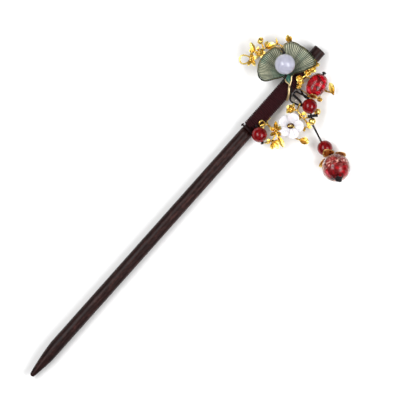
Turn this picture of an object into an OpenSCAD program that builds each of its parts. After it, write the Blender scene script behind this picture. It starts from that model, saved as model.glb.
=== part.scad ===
// Hair stick with a thread binding, an enamelled two-lobed leaf, beads, gilt blossoms and a drop.
// X runs along the stick from its point (-X) to its head (+X) and Z is up.
// The origin is on the stick's axis, just below the binding.

/* [Shaft] */
// Length of the stick, from the point to the head
shaft_len = 180; // [150:1:220]
// Diameter of the stick
shaft_d = 5.5; // [5:0.1:6.5]
// Length of the tapered point
taper_len = 22; // [16:1:40]
// Diameter of the blunt point
point_d = 2.2; // [1.6:0.1:3]
// Sideways lean of the point
point_lean = 0.5; // [0.1:0.1:0.8]
// Length of the head side, beyond the origin
head_len = 46; // [44:1:60]
// Chamfer on the head's edge
head_chamfer = 0.3; // [0.1:0.1:0.8]

/* [Binding] */
// Diameter of the binding thread
thread_d = 0.8; // [0.6:0.05:1]
// Start of the binding, beyond the origin
binding_start = 2.5; // [2.2:0.1:4]
// Length of the binding
binding_len = 33.2; // [32:0.2:38]
// Depth of the seat that the binding lies in
seat_depth = 0.2; // [0.2:0.05:0.4]
// Bare groove between the end tie and the binding
tie_groove = 0.6; // [0.3:0.1:1]
// Diameter of the end tie's knot
tie_knot_d = 1.5; // [1.2:0.1:2]

/* [Leaf] */
// Reach of the leaf's lobes from the foot of its ribs
leaf_reach = 12.6; // [11:0.2:14]
// Thickness of the enamelled blade
leaf_t = 0.8; // [0.5:0.1:1.2]
// Rise of the leaf's edge above its foot
leaf_rise = 1.2; // [0.6:0.1:2]
// Diameter of the rim wire
rim_d = 0.6; // [0.4:0.05:0.8]
// Diameter of the stalk
stalk_d = 1; // [0.8:0.05:1.3]

/* [Beads] */
// Diameter of the white bead
white_d = 8.4; // [7.4:0.1:9]
// Diameter of the red beads
red_d = 6.3; // [5:0.1:6.6]
// Length of the oval glass bead
glass_len = 10.6; // [9.8:0.1:11.2]
// Width of the oval glass bead
glass_w = 7.8; // [7.2:0.1:8.6]
// Room between the oval glass bead and the binding
glass_room = 1.6; // [1.3:0.1:2.4]
// Diameter of the drop's glass bead
drop_d = 11.6; // [10:0.1:13]
// Diameter of the gold bead on the drop's cord
gold_bead_d = 3; // [2.4:0.1:3.2]
// Bore of the large beads
bore_d = 1.2; // [1.1:0.05:1.5]

/* [Threads] */
// Diameter of the black cord
cord_d = 0.8; // [0.6:0.05:0.9]
// Diameter of the knots on the cord
knot_d = 1.9; // [1.6:0.1:2.4]
// Distance from the gold bead to the drop's red bead
drop_hang = 12.2; // [10:0.2:20]
// Room for the petal cap between the drop's two beads
cap_room = 0.9; // [0.8:0.1:2]

/* [Gilt work] */
// Diameter of the gilt wire
wire_d = 0.7; // [0.5:0.05:0.8]
// Thickness of the gilt petals
petal_t = 0.4; // [0.3:0.05:0.5]
// Length of the petals on the drop's cap
cap_petal = 6.6; // [5:0.1:7.2]
// Length of the petals on the oval bead's cap
glass_petal = 4.6; // [4:0.1:5.4]
// How far the petals of a cap flare on its open side
cap_flare = 2.8; // [1:0.1:2.8]
// Outer diameter of the ring beside the binding
ring_d = 3.4; // [2.8:0.1:4]

/* [Shell flower] */
// Diameter of the shell flower
flower_d = 11; // [9:0.2:12]
// Thickness of the shell flower
flower_t = 0.9; // [0.6:0.1:1.2]
// Bore of the shell flower
flower_bore = 1.2; // [1:0.05:1.5]

/* [Hidden] */
// Clearance between pieces that touch on the real object
gap = 0.1;
// Facets of true round surfaces, and of wires and cords
round_fn = 64;
wire_fn = 6;

shaft_r = shaft_d / 2;
seat_r = shaft_r - seat_depth;
turns = round(binding_len / thread_d);
pitch = binding_len / turns;
binding_bore = seat_r + gap / 2;
binding_r = binding_bore + thread_d;
floor_z = -binding_r;

// Radius at which the middle of a round thing of diameter d rides on the binding
function ride(d) = binding_r + gap + d / 2;
// Place on the binding for a round thing of diameter d, at an angle from the top towards +Y
function on_binding(x, angle, d) = [x, ride(d) * sin(angle), ride(d) * cos(angle)];
// Places measured outwards from the binding's two flanks
function left(x, out, z) = [x, binding_r + out, z];
function right(x, out, z) = [x, -binding_r - out, z];
function unit(v) = v / norm(v);

// A smooth curve through hand-chosen points, n steps from each to the next
function end_safe(pts, i) = pts[min(max(i, 0), len(pts) - 1)];
function curve_point(a, b, c, d, t) =
    0.5 * (2 * b + (c - a) * t + (2 * a - 5 * b + 4 * c - d) * t ^ 2 + (3 * b - a - 3 * c + d) * t ^ 3);
function smooth(pts, n) = [
    for (i = [0 : len(pts) - 2], k = [0 : n - 1])
        curve_point(end_safe(pts, i - 1), pts[i], pts[i + 1], end_safe(pts, i + 2), k / n),
    pts[len(pts) - 1]
];

// Turns +Z to point along v
module along(v) {
    rotate([0, acos(v.z / norm(v)), atan2(v.y, v.x)]) children();
}

// Round wire or cord from point to point
module strand(pts, d, sides = wire_fn) {
    for (i = [0 : len(pts) - 2]) hull() {
        translate(pts[i]) sphere(d = d, $fn = sides);
        translate(pts[i + 1]) sphere(d = d, $fn = sides);
    }
}

// Skin over rings that each hold the same number of points, with flat ends or closed on itself
module skin(rings, closed = false) {
    n = len(rings);
    m = len(rings[0]);
    sides = [
        for (i = [0 : closed ? n - 1 : n - 2], j = [0 : m - 1])
            [i * m + j, (i + 1) % n * m + j, (i + 1) % n * m + (j + 1) % m, i * m + (j + 1) % m]
    ];
    ends = [[for (j = [0 : m - 1]) j], [for (j = [m - 1 : -1 : 0]) (n - 1) * m + j]];
    polyhedron([for (ring = rings) each ring], closed ? sides : concat(sides, ends), convexity = 6);
}

// Ring of points round p, square to dir
function ring_at(p, dir, r, sides) =
    let (e = unit(cross([0.13, 0.07, 1], dir)), f = cross(dir, e))
    [for (k = [0 : sides - 1]) p + r * (cos(360 * k / sides) * e + sin(360 * k / sides) * f)];

// Round tube swept along a path, open or closed on itself
module tube(pts, d, sides = wire_fn, closed = false) {
    n = len(pts);
    function at(i) = closed ? pts[(i + n) % n] : end_safe(pts, i);
    skin([for (i = [0 : n - 1]) ring_at(pts[i], unit(at(i + 1) - at(i - 1)), d / 2, sides)], closed);
}

module wire(pts, d = wire_d, steps = 2) {
    tube(smooth(pts, steps), d);
}

module ball(at, d, sides = wire_fn) {
    translate(at) sphere(d = d, $fn = sides);
}

// A flattened knot over the end of a bore along v. Its middle lies knot_lift beyond the bead.
function knot_lift(d) = gap + 0.3 * d;
module knot(at, v, d) {
    translate(at) along(v) hull() {
        cylinder(d = 0.7 * d, h = 0.6 * d, center = true, $fn = 8);
        cylinder(d = d, h = 0.24 * d, center = true, $fn = 8);
    }
}

// Width of a petal at share u of its length, from its foot to its tip
function petal_width(u, belly, blunt) = max(0.12, sin(180 * u ^ belly) ^ blunt);

// A cupped petal or small leaf along +X: rise lifts its tip, arch lifts its sides
module petal(
    length, width, rise = 0.2, arch = 0.2, belly = 1.3, blunt = 0.6, t = petal_t, steps = 4, turn = 90
) {
    skin([
        for (i = [0 : steps])
            let (u = i / steps, half = width / 2 * petal_width(u, belly, blunt), lift = rise * length * u ^ 2)
            [
                for (a = [0 : turn : 359])
                    [u * length, half * cos(a), t / 2 * sin(a) + lift + arch * half * cos(a) ^ 2]
            ]
    ]);
}

// A petal or leaf set at a place, turned to a heading and pitched up, then rolled about its own length.
// Petals that share a middle start a little out from it, at foot.
module petal_at(
    at, heading, pitch_up, length, width, roll = 0, rise = 0.2, arch = 0.2, belly = 1.3, blunt = 0.6, foot = 0
) {
    translate(at) rotate([0, 0, heading]) rotate([0, -pitch_up, 0])
        translate([foot, 0, 0]) rotate([roll, 0, 0]) petal(length - foot, width, rise, arch, belly, blunt);
}

// A small gilt flower with a round middle, facing along v
module small_flower(at, v, r, petals = 5, spin = 0, cup = 0.35, slim = 0.95) {
    translate(at) along(v) {
        for (k = [0 : petals - 1])
            rotate([0, 0, spin + 360 * k / petals]) translate([0.12 * r, 0, 0]) rotate([10, 0, 0])
                petal(0.88 * r, slim * r, cup, 0.25, steps = 3);
        sphere(d = 0.5 * r + petal_t, $fn = wire_fn);
    }
}

// An open teardrop loop of wire that lies along a heading
module loop_petal(at, heading, pitch_up, length, width, d = wire_d, roll = 0) {
    ring = [for (a = [0 : 36 : 324]) [length / 2 * (1 - cos(a)), width / 2 * sin(a) * sqrt(1.1 - cos(a)), 0]];
    translate(at) rotate([0, 0, heading]) rotate([0, -pitch_up, 0]) rotate([roll, 0, 0])
        tube(ring, d, closed = true);
}

// A round bead with a through bore along v
module drilled(at, v, d) {
    translate(at) along(v) difference() {
        sphere(d = d, $fn = round_fn);
        cylinder(d = bore_d, h = 2 * d, center = true, $fn = round_fn);
    }
}

// Petals that leave the end of a bead at its pole -Z and hug it.
// The bead is long from pole to pole and wide across, with round ends.
// Spin is the angle of the first petal, and open_side the angle at which they flare the most.
module bead_cap(long, wide, petal_len, spin, open_side) {
    end_z = (long - wide) / 2;
    function bead_out(tilt) = end_z * cos(tilt) + sqrt((wide / 2) ^ 2 - (end_z * sin(tilt)) ^ 2);
    function petal_out(tilt) = bead_out(tilt) + 1.5 * gap + petal_t / 2;
    collar = bore_d + wire_d;
    foot = asin(collar / 2 / petal_out(0));
    reach = petal_len / petal_out(0) * 180 / PI;
    steps = 5;
    for (k = [0 : 4]) rotate([0, 0, spin + 72 * k]) skin([
        for (i = [0 : steps])
            let (
                u = i / steps,
                tilt = foot + u * (reach - foot),
                out = petal_out(tilt) + cap_flare * u ^ 3 * ((1 + cos(spin + 72 * k - open_side)) / 2) ^ 2,
                half = min(0.42 * petal_len * petal_width(0.06 + 0.94 * u, 1.3, 0.6), 0.66 * out * sin(tilt))
            )
            [
                for (a = [0 : 60 : 300])
                    (out + petal_t / 2 * sin(a)) * unit([out * sin(tilt), -half * cos(a), -out * cos(tilt)])
            ]
    ]);
    ring = [for (a = [0 : 40 : 360]) [collar / 2 * cos(a), collar / 2 * sin(a), -petal_out(0)]];
    strand(ring, 0.8 * wire_d);
}

// Shaft: a cylinder cut to a slightly leaning ogive point, with a shallow seat under the binding
point_x = head_len - shaft_len;
taper_end = point_x + taper_len;
// The ogive's arc swells this much past the shaft, so that its lean never flattens the shaft
ogive_spare = 0.3;
tie_x = binding_start - tie_groove - thread_d / 2;
// The seat also takes the end tie and its knot
seat_start = tie_x - tie_knot_d / 2 - gap;
seat_end = binding_start + binding_len + gap;

module ogive() {
    reach = shaft_r + ogive_spare;
    drop = reach - point_d / 2;
    straight = taper_len - point_d / 2;
    arc_r = (straight ^ 2 + drop ^ 2) / (2 * drop);
    lean = atan(point_lean / taper_len);
    translate([taper_end, 0, 0]) rotate([0, 0, lean]) rotate([0, 90, 0]) rotate_extrude($fn = round_fn)
        union() {
            intersection() {
                translate([reach - arc_r, 0]) circle(r = arc_r, $fn = 4 * round_fn);
                translate([0, -straight]) square([reach, straight]);
            }
            translate([0, -straight]) intersection() {
                circle(d = point_d, $fn = round_fn);
                translate([0, -point_d]) square(2 * point_d);
            }
        }
    translate([taper_end, 0, 0]) rotate([0, 90, 0]) cylinder(r = 2 * shaft_r, h = shaft_len, $fn = round_fn);
}

module turned_shaft() {
    rotate([0, 90, 0]) rotate_extrude($fn = round_fn) difference() {
        translate([0, point_x - 1]) square([shaft_r, shaft_len + 1]);
        translate([seat_r, seat_start]) square([1, seat_end - seat_start]);
        translate([shaft_r, head_len]) rotate([0, 0, 45]) square(sqrt(2) * head_chamfer, center = true);
    }
}

module shaft() {
    color("#2a1614") intersection() {
        turned_shaft();
        ogive();
    }
}

// Binding: the turns lie side by side, merged to one sleeve
module binding() {
    sleeve = binding_r - 0.4 * pitch - binding_bore;
    color("#3c1a20") rotate([0, 90, 0]) rotate_extrude($fn = round_fn) translate([0, binding_start]) union() {
        translate([binding_bore, 0]) square([sleeve, binding_len]);
        for (i = [0 : turns - 1])
            translate([binding_r - pitch / 2, (i + 0.5) * pitch]) circle(d = pitch, $fn = 24);
    }
}

// End tie: one turn of the same thread, closed by a knot on its side
module end_tie() {
    color("#1d0f10") {
        translate([tie_x, 0, 0]) rotate([0, 90, 0]) rotate_extrude($fn = round_fn)
            translate([binding_r - thread_d / 2, 0]) circle(d = thread_d, $fn = 24);
        translate([tie_x, binding_r, 0]) sphere(d = tie_knot_d, $fn = 32);
    }
}

// Leaf: its ribs fan out from leaf_foot, and this table gives its outline.
// Each row is an angle about the foot and the outline's distance as a share of leaf_reach.
leaf_foot = [29, binding_r + 0.3];
leaf_z = ride(stalk_d) + 0.5;
leaf_outline = [
    [-120, 0.37], [-112, 0.31], [-101, 0.26], [-84, 0.2], [-66, 0.18], [-45, 0.26], [-37, 0.62],
    [-31, 0.97], [-22, 1.03], [-10, 1.02], [2, 1.02], [15, 1.02], [25, 1.05], [35, 1.06], [43, 0.99],
    [47, 0.93], [49, 0.72], [54, 0.73], [58, 0.84], [63, 0.91], [70, 0.95],
    [84, 0.94], [98, 0.96], [112, 0.96], [126, 0.94], [138, 0.9], [146, 0.82], [151, 0.68], [154, 0.4],
    [165, 0.15], [190, 0.14], [207, 0.18], [221, 0.26], [232, 0.31], [240, 0.37]
];
function outline_share(a) = lookup(a, leaf_outline);
// Height of the leaf's middle surface: a shallow cup whose edge waves once on each lobe
function leaf_height(a, share) = leaf_z + leaf_rise * share ^ 2 * (1 + 0.35 * cos(3 * (a - 100)));
function leaf_point(a, share) =
    let (r = leaf_reach * outline_share(a) * share)
    [leaf_foot.x + r * cos(a), leaf_foot.y + r * sin(a), leaf_height(a, r / leaf_reach)];
// Angles at which the outline is followed: the table's own, and ones halfway across the wider steps
leaf_angles = [
    for (i = [0 : len(leaf_outline) - 2])
        let (a = leaf_outline[i][0], b = leaf_outline[i + 1][0]) each (b - a > 6 ? [a, (a + b) / 2] : [a])
];
leaf_n = len(leaf_angles);
// Plan of the outline about the leaf's foot, and the same plan drawn in by d on every side
function leaf_plan(i) =
    let (a = leaf_angles[(i + leaf_n) % leaf_n]) leaf_reach * outline_share(a) * [cos(a), sin(a)];
function drawn_in(i, d) =
    let (
        p = leaf_plan(i),
        before = unit(p - leaf_plan(i - 1)),
        after = unit(leaf_plan(i + 1) - p),
        n1 = [-before.y, before.x],
        n2 = [-after.y, after.x]
    )
    p + d * (n1 + n2) / (1 + n1 * n2);
function blade_point(i, share, d) =
    let (p = share * drawn_in(i, d))
    [leaf_foot.x + p.x, leaf_foot.y + p.y, leaf_height(atan2(p.y, p.x), norm(p) / leaf_reach)];
leaf_tip = leaf_point(-120, 1);

module leaf_enamel() {
    inset = rim_d / 2 + gap;
    shares = [0.4, 0.75, 1];
    n = leaf_n;
    rings = len(shares);
    lift = [0, 0, leaf_t / 2];
    foot = [leaf_foot.x, leaf_foot.y, leaf_height(0, 0)];
    top = [for (s = shares, i = [0 : n - 1]) blade_point(i, s, inset) + lift];
    under = [for (s = shares, i = [0 : n - 1]) blade_point(i, s, inset) - lift];
    m = rings * n;
    points = concat([foot + lift, foot - lift], top, under);
    function at(side, ring, i) = 2 + side * m + ring * n + i % n;
    color("#6f8470") polyhedron(concat(points), concat(
        [for (i = [0 : n - 1]) [0, at(0, 0, i + 1), at(0, 0, i)]],
        [for (i = [0 : n - 1]) [1, at(1, 0, i), at(1, 0, i + 1)]],
        [for (r = [0 : rings - 2], i = [0 : n - 1])
            [at(0, r, i), at(0, r, i + 1), at(0, r + 1, i + 1), at(0, r + 1, i)]],
        [for (r = [0 : rings - 2], i = [0 : n - 1])
            [at(1, r, i), at(1, r + 1, i), at(1, r + 1, i + 1), at(1, r, i + 1)]],
        [for (i = [0 : n - 1])
            [at(0, rings - 1, i), at(0, rings - 1, i + 1), at(1, rings - 1, i + 1), at(1, rings - 1, i)]]
    ), convexity = 8);
}

module leaf_frame() {
    stalk = [
        leaf_tip,
        on_binding(leaf_tip.x - 1, -12, stalk_d + gap),
        on_binding(leaf_tip.x - 3.2, -38, stalk_d + gap),
        on_binding(leaf_tip.x - 5.6, -66, stalk_d + gap)
    ];
    color("#c9a24a") {
        tube([for (a = leaf_angles) leaf_point(a, 1)], rim_d, closed = true);
        strand(smooth(stalk, 3), stalk_d);
    }
}

// White bead, seated on the leaf
white_plan = [leaf_foot.x + 2.4, leaf_foot.y + 3.1];
white_at = [white_plan.x, white_plan.y, leaf_z + 0.15 * leaf_rise + leaf_t / 2 + gap + white_d / 2];
white_axis = [0.69, 0.72, 0];

module white_bead() {
    color("#cfcada") drilled(white_at, white_axis, white_d);
}

module white_bead_thread() {
    knots = 0.85 * knot_d;
    top = white_at + (white_d / 2 + knot_lift(knots)) * white_axis;
    low = white_at - (white_d / 2 + knot_lift(knots)) * white_axis;
    notch = leaf_point(51, 1);
    color("#141414") {
        strand([
            notch + [-0.6, -0.6, -1.4], notch + [0.5, 1.15, -1.2], notch + [0.55, 1.2, 0.9],
            top + [0.4, 0.4, -0.8], top, low, low + [-0.6, -0.3, -0.6],
            [low.x - 2.3, low.y - 0.5, leaf_z + 0.6], on_binding(low.x - 2.5, 42, cord_d),
            on_binding(low.x - 3.6, 50, cord_d)
        ], cord_d);
        knot(top, white_axis, knots);
        knot(low, white_axis, knots);
    }
}

// Spray beside the leaf: one casting with a star flower, loops, buds and curled leaves
module spray() {
    stem = [
        on_binding(33, 128, wire_d), on_binding(30.5, 128, wire_d), left(29, 2.4, -1.8), left(28.6, 8, 0.4),
        left(28.4, 14.2, 1.6)
    ];
    right_branch = [
        left(28.4, 14.2, 1.6), left(31, 14, 2.2), left(33.7, 13, 2.4), left(36, 10.9, 2.6),
        left(36.8, 7.8, 2.8), left(38.5, 7.3, 3.2), left(39.8, 8.1, 4.2)
    ];
    left_branch = [left(28.4, 14.2, 1.6), left(26.3, 13.4, 2.2), left(24.2, 15.2, 2.4)];
    loop_stem = [left(27.6, 14.4, 1.6), left(27.1, 15.9, 2.2)];
    bud_stem = [left(30.2, 14.2, 2), left(31.2, 15.2, 2.6), left(31.8, 16.6, 2.8)];
    arc = [left(33.4, 11.6, 2.7), left(34.6, 11.1, 3.2), left(35.4, 9.4, 3.3), left(36.6, 8.3, 2.8)];
    color("#d9a520") {
        strand(stem, wire_d);
        wire(right_branch);
        strand(left_branch, wire_d);
        strand(loop_stem, wire_d);
        strand(bud_stem, wire_d);
        wire(arc, 1.1 * wire_d);
        // Star flower
        star = left(24.2, 15.2, 2.4);
        for (row = [[-112, 3.6], [-168, 3.5], [-30, 2.2], [42, 2.9]])
            petal_at(star, row[0], 12, row[1], 1.7, rise = 0.15, belly = 0.8, foot = 0.4);
        loop_petal(star, 137, 8, 5, 3.2);
        ball(star, 2);
        // Long leaf and a shorter one below it
        petal_at(left(27.1, 15.7, 2.2), 68, 10, 4.9, 2, rise = 0.1, arch = 0.5, belly = 1.2);
        petal_at(left(27.1, 15.9, 2), 110, 15, 2.9, 1.7, rise = 0.2);
        // Cluster of small petals
        for (row = [[5, 2.5], [68, 2.9], [131, 2.7], [187, 2.6], [246, 2.5], [308, 2.7]])
            petal_at(left(28.4, 14.4, 1.9), row[0], 30, row[1], 1.5, roll = 18, rise = -0.1, foot = 0.7);
        ball(left(28.4, 14.4, 2.4), 2.2);
        // Round bud
        ball(left(31.9, 17.3, 2.8), 2.4);
        petal_at(left(31.8, 16.2, 2.8), 60, 20, 2.9, 2.1, rise = 0.1, arch = -0.4);
        // Curled leaf and the thorn
        petal_at(left(31.2, 13.9, 2.4), -32, 8, 4.8, 3, roll = -25, rise = 0.15, arch = 0.35);
        petal_at(left(31.4, 13.8, 2.5), 28, 8, 3, 2, rise = 0.2, arch = 0.3);
        petal_at(left(35.7, 11.3, 2.8), 52, 10, 2.9, 0.9, rise = 0.1, belly = 0.5);
        // Bud leaf over the right lobe's tip
        petal_at(left(39.6, 7.9, 4.2), 56, 14, 3.5, 2.4, roll = -20, rise = 0.1, arch = 0.4, belly = 0.8);
        petal_at(left(39.7, 8, 4.1), 30, 6, 2.6, 1.5, rise = 0.2, belly = 0.8);
    }
}

// Head twig: small flowers that lie on the binding, under the leaf's right lobe
module head_twig() {
    twig = [
        on_binding(30.6, -50, wire_d), on_binding(31.8, -36, wire_d), on_binding(33.4, -38, wire_d),
        on_binding(35.2, -46, wire_d), on_binding(37.4, -58, wire_d), on_binding(39.3, -46, wire_d)
    ];
    color("#dfae2c") {
        strand(smooth(twig, 2), wire_d);
        small_flower(on_binding(31.3, -18, 1.6), [-0.2, -0.35, 1], 1.5, spin = 20);
        small_flower(on_binding(30.6, -38, 1.6), [-0.3, -0.6, 0.9], 1.6, spin = 50);
        small_flower(on_binding(28.8, -53, 1.6), [-0.4, -0.8, 0.8], 1.3, spin = 5);
        small_flower(on_binding(35.3, -32, 1.9), [0, -0.4, 1], 1.6, spin = 10);
        small_flower(on_binding(37.6, -38, 2), [0.2, -0.3, 1], 1.8, spin = 40);
        petal_at(on_binding(39.1, -44, 0.9), 38, 10, 3, 2, rise = 0.1, arch = 0.4);
        petal_at(on_binding(39.1, -44, 0.9), -25, 4, 2.4, 1.6, rise = 0.2);
        strand([on_binding(31.5, -28, wire_d), on_binding(31.3, -20, 1.4)], wire_d);
        strand([on_binding(30.6, -50, wire_d), on_binding(28.8, -54, 1.4)], wire_d);
        strand([on_binding(35.2, -46, wire_d), on_binding(35.3, -38, 1.8)], wire_d);
    }
}

// Oval glass bead, beside the binding's flank
glass_z = 2;
glass_out = binding_r + glass_room + glass_w / 2;
glass_at = [33.8, -sqrt(glass_out ^ 2 - glass_z ^ 2), glass_z];
glass_axis = unit([0.985, 0.17, 0]);

module glass_bead() {
    end_z = (glass_len - glass_w) / 2;
    color("#a3122c") translate(glass_at) along(glass_axis) rotate_extrude($fn = round_fn) difference() {
        union() {
            translate([0, end_z]) circle(d = glass_w, $fn = round_fn);
            translate([0, -end_z]) circle(d = glass_w, $fn = round_fn);
            translate([0, -end_z]) square([glass_w / 2, 2 * end_z]);
        }
        translate([-glass_w, -glass_len]) square([glass_w + bore_d / 2, 2 * glass_len]);
    }
}

glass_cap_spin = -6;
glass_cap_side = 102;
module glass_bead_cap() {
    color("#d98a1c") translate(glass_at) along(glass_axis)
        bead_cap(glass_len, glass_w, glass_petal, glass_cap_spin, glass_cap_side);
}

module glass_bead_thread() {
    foot = glass_at - (glass_len / 2 + petal_t + cord_d / 2 + 3 * gap) * glass_axis;
    head = glass_at + (glass_len / 2 + knot_lift(knot_d)) * glass_axis;
    color("#141414") {
        strand([
            on_binding(27, -116, cord_d), on_binding(28.6, -116, cord_d), foot + [-0.5, 1.4, -2], foot, head
        ], cord_d);
        knot(head, glass_axis, knot_d);
        knot(foot, glass_axis, 0.6 * knot_d);
    }
}

// Side twig: it leaves the binding's underside and passes below the glass bead
module side_twig() {
    low_z = floor_z + wire_d / 2 + 0.15;
    stem = [
        on_binding(30.5, -132, wire_d), on_binding(33, -132, wire_d), right(34.4, 1.2, low_z),
        right(34.6, 5, low_z), right(34.6, 8.8, low_z + 0.2), right(35.4, 11.2, low_z + 1.6),
        right(36.2, 12, low_z + 3.2)
    ];
    bud_stem = [
        right(34.6, 6.8, low_z), right(32.6, 8.6, low_z + 0.1), right(30.9, 9.6, low_z + 1.4),
        right(30.3, 9.8, low_z + 2.6)
    ];
    color("#d9a520") {
        strand(smooth(stem, 2), wire_d);
        wire(bud_stem);
        petal_at(right(35.6, 13.3, -0.4), 64, 22, 6, 2.9, roll = 30, rise = 0.05, arch = 0.3);
        petal_at(right(29.4, 9.6, -0.6), -35, 25, 2.6, 1.8, rise = 0.1, arch = 0.3);
        petal_at(right(30.3, 9.2, -0.6), -100, 30, 2.2, 1.5, rise = 0.2);
        ball(right(30.3, 9.7, -0.6), 1.5);
    }
}

// Upper red bead, beyond the glass bead's cap, and the chain of the drop below it
red_step = glass_len / 2 + red_d / 2 + 0.6;
red_at = glass_at + [-0.92 * red_step, -0.393 * red_step, 2.2];
red_axis = unit([-0.6, -0.755, -0.25]);
knot_step = red_d / 2 + 1.2;
gold_step = knot_step + 0.6 + gap + gold_bead_d / 2;
gold_at = red_at + gold_step * red_axis;
hang_dir = unit([-0.38, -0.925, 0]);
drop_dir = unit([-0.33, -0.944, 0]);
drop_red_at = [
    gold_at.x + drop_hang * hang_dir.x, gold_at.y + drop_hang * hang_dir.y, floor_z + red_d / 2
];
// The drop bead lies with the foot of its bore lifted towards the viewer
drop_lift = 46;
drop_axis = [-0.592 * cos(drop_lift), -0.806 * cos(drop_lift), sin(drop_lift)];
drop_z = floor_z + drop_d / 2 + petal_t + 2 * gap;
drop_step = sqrt((red_d / 2 + cap_room + drop_d / 2) ^ 2 - (drop_z - drop_red_at.z) ^ 2);
drop_at = [drop_red_at.x + drop_step * drop_dir.x, drop_red_at.y + drop_step * drop_dir.y, drop_z];

module upper_red_bead() {
    color("#7c0f22") drilled(red_at, red_axis, red_d);
}

module gold_bead() {
    color("#e0b62c") translate(gold_at) along(red_axis) difference() {
        sphere(d = gold_bead_d, $fn = round_fn);
        cylinder(d = cord_d + 2 * gap, h = 2 * gold_bead_d, center = true, $fn = 32);
    }
}

module drop_red_bead() {
    color("#7c0f22") drilled(drop_red_at, drop_dir, red_d);
}

module drop_bead() {
    color("#b01834") drilled(drop_at, drop_axis, drop_d);
}

drop_cap_spin = 132;
drop_cap_side = 214;
module drop_cap() {
    color("#cf9a2c") translate(drop_at) along(drop_axis)
        bead_cap(drop_d, drop_d, cap_petal, drop_cap_spin, drop_cap_side);
}

module drop_thread() {
    knot_at = red_at + knot_step * red_axis;
    across = unit(cross(red_axis, [0, 0, 1]));
    pole = drop_at - (drop_d / 2 + petal_t + wire_d / 2 + cord_d / 2 + 2 * gap) * drop_axis;
    // The double knot below the upper bead: a coil along across with a knot at each end
    coil_d = 1.1;
    coil_ends = [-2.2, 1];
    side_knot = 0.9 * knot_d;
    end_knot = 1.8 * knot_d;
    end = drop_at + (drop_d / 2 + knot_lift(end_knot)) * drop_axis;
    color("#141414") {
        strand([
            on_binding(25, -94, cord_d), on_binding(26.5, -94, cord_d), right(26.7, 2.2, 0.8),
            red_at - (red_d / 2 + 0.8) * red_axis, red_at + (red_d / 2) * red_axis,
            gold_at + (gold_bead_d / 2 + 0.15) * red_axis,
            gold_at + (gold_bead_d / 2 + 1.2) * unit(red_axis + hang_dir),
            drop_red_at - (red_d / 2 + 1) * drop_dir,
            drop_red_at + (red_d / 2 + gap) * drop_dir - [0, 0, gap / 2],
            pole, end
        ], cord_d);
        strand([for (out = coil_ends) knot_at + out * across], coil_d);
        for (out = coil_ends) knot(knot_at + out * across, across, side_knot);
        knot(end, drop_axis, end_knot);
    }
}

// Branch: it carries the shell flower on a pin and ends in a small leaf below it
flower_at = right(14.3, 8.5, 2.2);
flower_axis = unit([-0.12, 0.1, 1]);

module branch() {
    low = flower_at - (flower_t / 2 + 0.75) * flower_axis;
    high = flower_at + (flower_t / 2 + 0.5 + gap) * flower_axis;
    stem = [
        right(23.8, 5.2, 3.1), right(22.4, 5.6, 2.6), right(20.9, 6.4, 1.6), right(20.3, 9, 0.8),
        right(19.9, 12, 0.4), right(18.6, 13.8, 0.3), right(16.6, 12, 0.4), low
    ];
    leaf_stem = [
        low, right(12.4, 10.6, 0.5), right(11.6, 12.4, 0.8), right(12.2, 14.6, 1), right(12.9, 15.6, 1)
    ];
    ball_stem = [
        right(20.2, 10, 0.6), right(22.2, 12.2, -0.9), right(25.2, 12.9, -0.8), right(26, 12.8, 0.2)
    ];
    color("#dca928") {
        wire(stem);
        wire([low, low + [0, 0, 0.3], flower_at, high - [0, 0, 0.1]]);
        strand(leaf_stem, 0.85 * wire_d);
        // Leaf below the flower
        petal_at(right(12.6, 14.8, 0.8), -72, 10, 4.2, 3.2, roll = -15, rise = 0.1, arch = 0.3, belly = 1.2);
        petal_at(right(12.9, 15.4, 1.2), -40, 20, 3, 1.7, rise = 0.1, arch = 0.3);
        // Stamen ring over the pin
        translate(high) along(flower_axis) {
            tube([for (a = [0 : 36 : 324]) [1.15 * cos(a), 0.85 * sin(a), 0]], 0.6, closed = true);
            strand([[-1.15, 0, 0], [1.15, 0, 0]], 0.6);
        }
        ball(high + [0.5, -1.3, 0.1], 0.8);
        // Cluster by the binding
        small_flower(right(19.5, 3.9, 1.8), [-0.2, 0.2, 1], 2, spin = 30);
        petal_at(right(19.6, 3.8, 1.6), 175, 10, 2.7, 1.5, rise = 0.2);
        petal_at(right(20, 4.1, 1.9), 20, 10, 2.4, 1.4, rise = 0.3);
        strand([right(19.6, 4, 1.4), right(20.8, 6.2, 1.6)], wire_d);
        // Curls beside the upper red bead
        loop_petal(right(20.4, 8.4, 1.2), -60, 10, 2.4, 1.7, 0.8 * wire_d);
        petal_at(right(20.2, 8.2, 1), -140, 15, 2.4, 1.5);
        petal_at(right(20.4, 8.6, 1), -20, 5, 2.2, 1.4);
        // Twigs beyond the flower
        petal_at(right(19.8, 12.2, 0.6), -95, 8, 2.6, 1.3, belly = 0.8);
        petal_at(right(18.6, 13.8, 0.5), -60, 5, 1.9, 1.2, belly = 0.8);
        petal_at(right(17.6, 13, 0.5), -140, 5, 2, 1.2, belly = 0.8);
        // Gold ball on its own short twig
        strand(ball_stem, wire_d);
        ball(right(26, 12.8, 0.6), 2.7);
    }
}

// Thread that ties the branch to the stick: it runs along the stalk, out to the branch and back
module branch_thread() {
    tie = right(23.5, 6.2, 1.6);
    color("#141414") {
        strand([
            on_binding(26.4, -26, cord_d), on_binding(25.4, -39, cord_d), on_binding(24.3, -52, cord_d),
            right(21.7, 1.3, 1.1), right(22.6, 4.6, 1.4), tie
        ], cord_d);
        strand(
            [tie, right(24.5, 4.7, 1.5), right(24.5, 2.2, 1.3), on_binding(24.7, -76, cord_d)],
            1.3 * cord_d
        );
        ball(tie, 1.5);
    }
}

module wire_ring() {
    color("#bcb7a0") translate(right(23.4, gap + ring_d / 2, -0.6)) rotate_extrude($fn = round_fn)
        translate([(ring_d - wire_d) / 2, 0]) circle(d = wire_d, $fn = 24);
}

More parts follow.
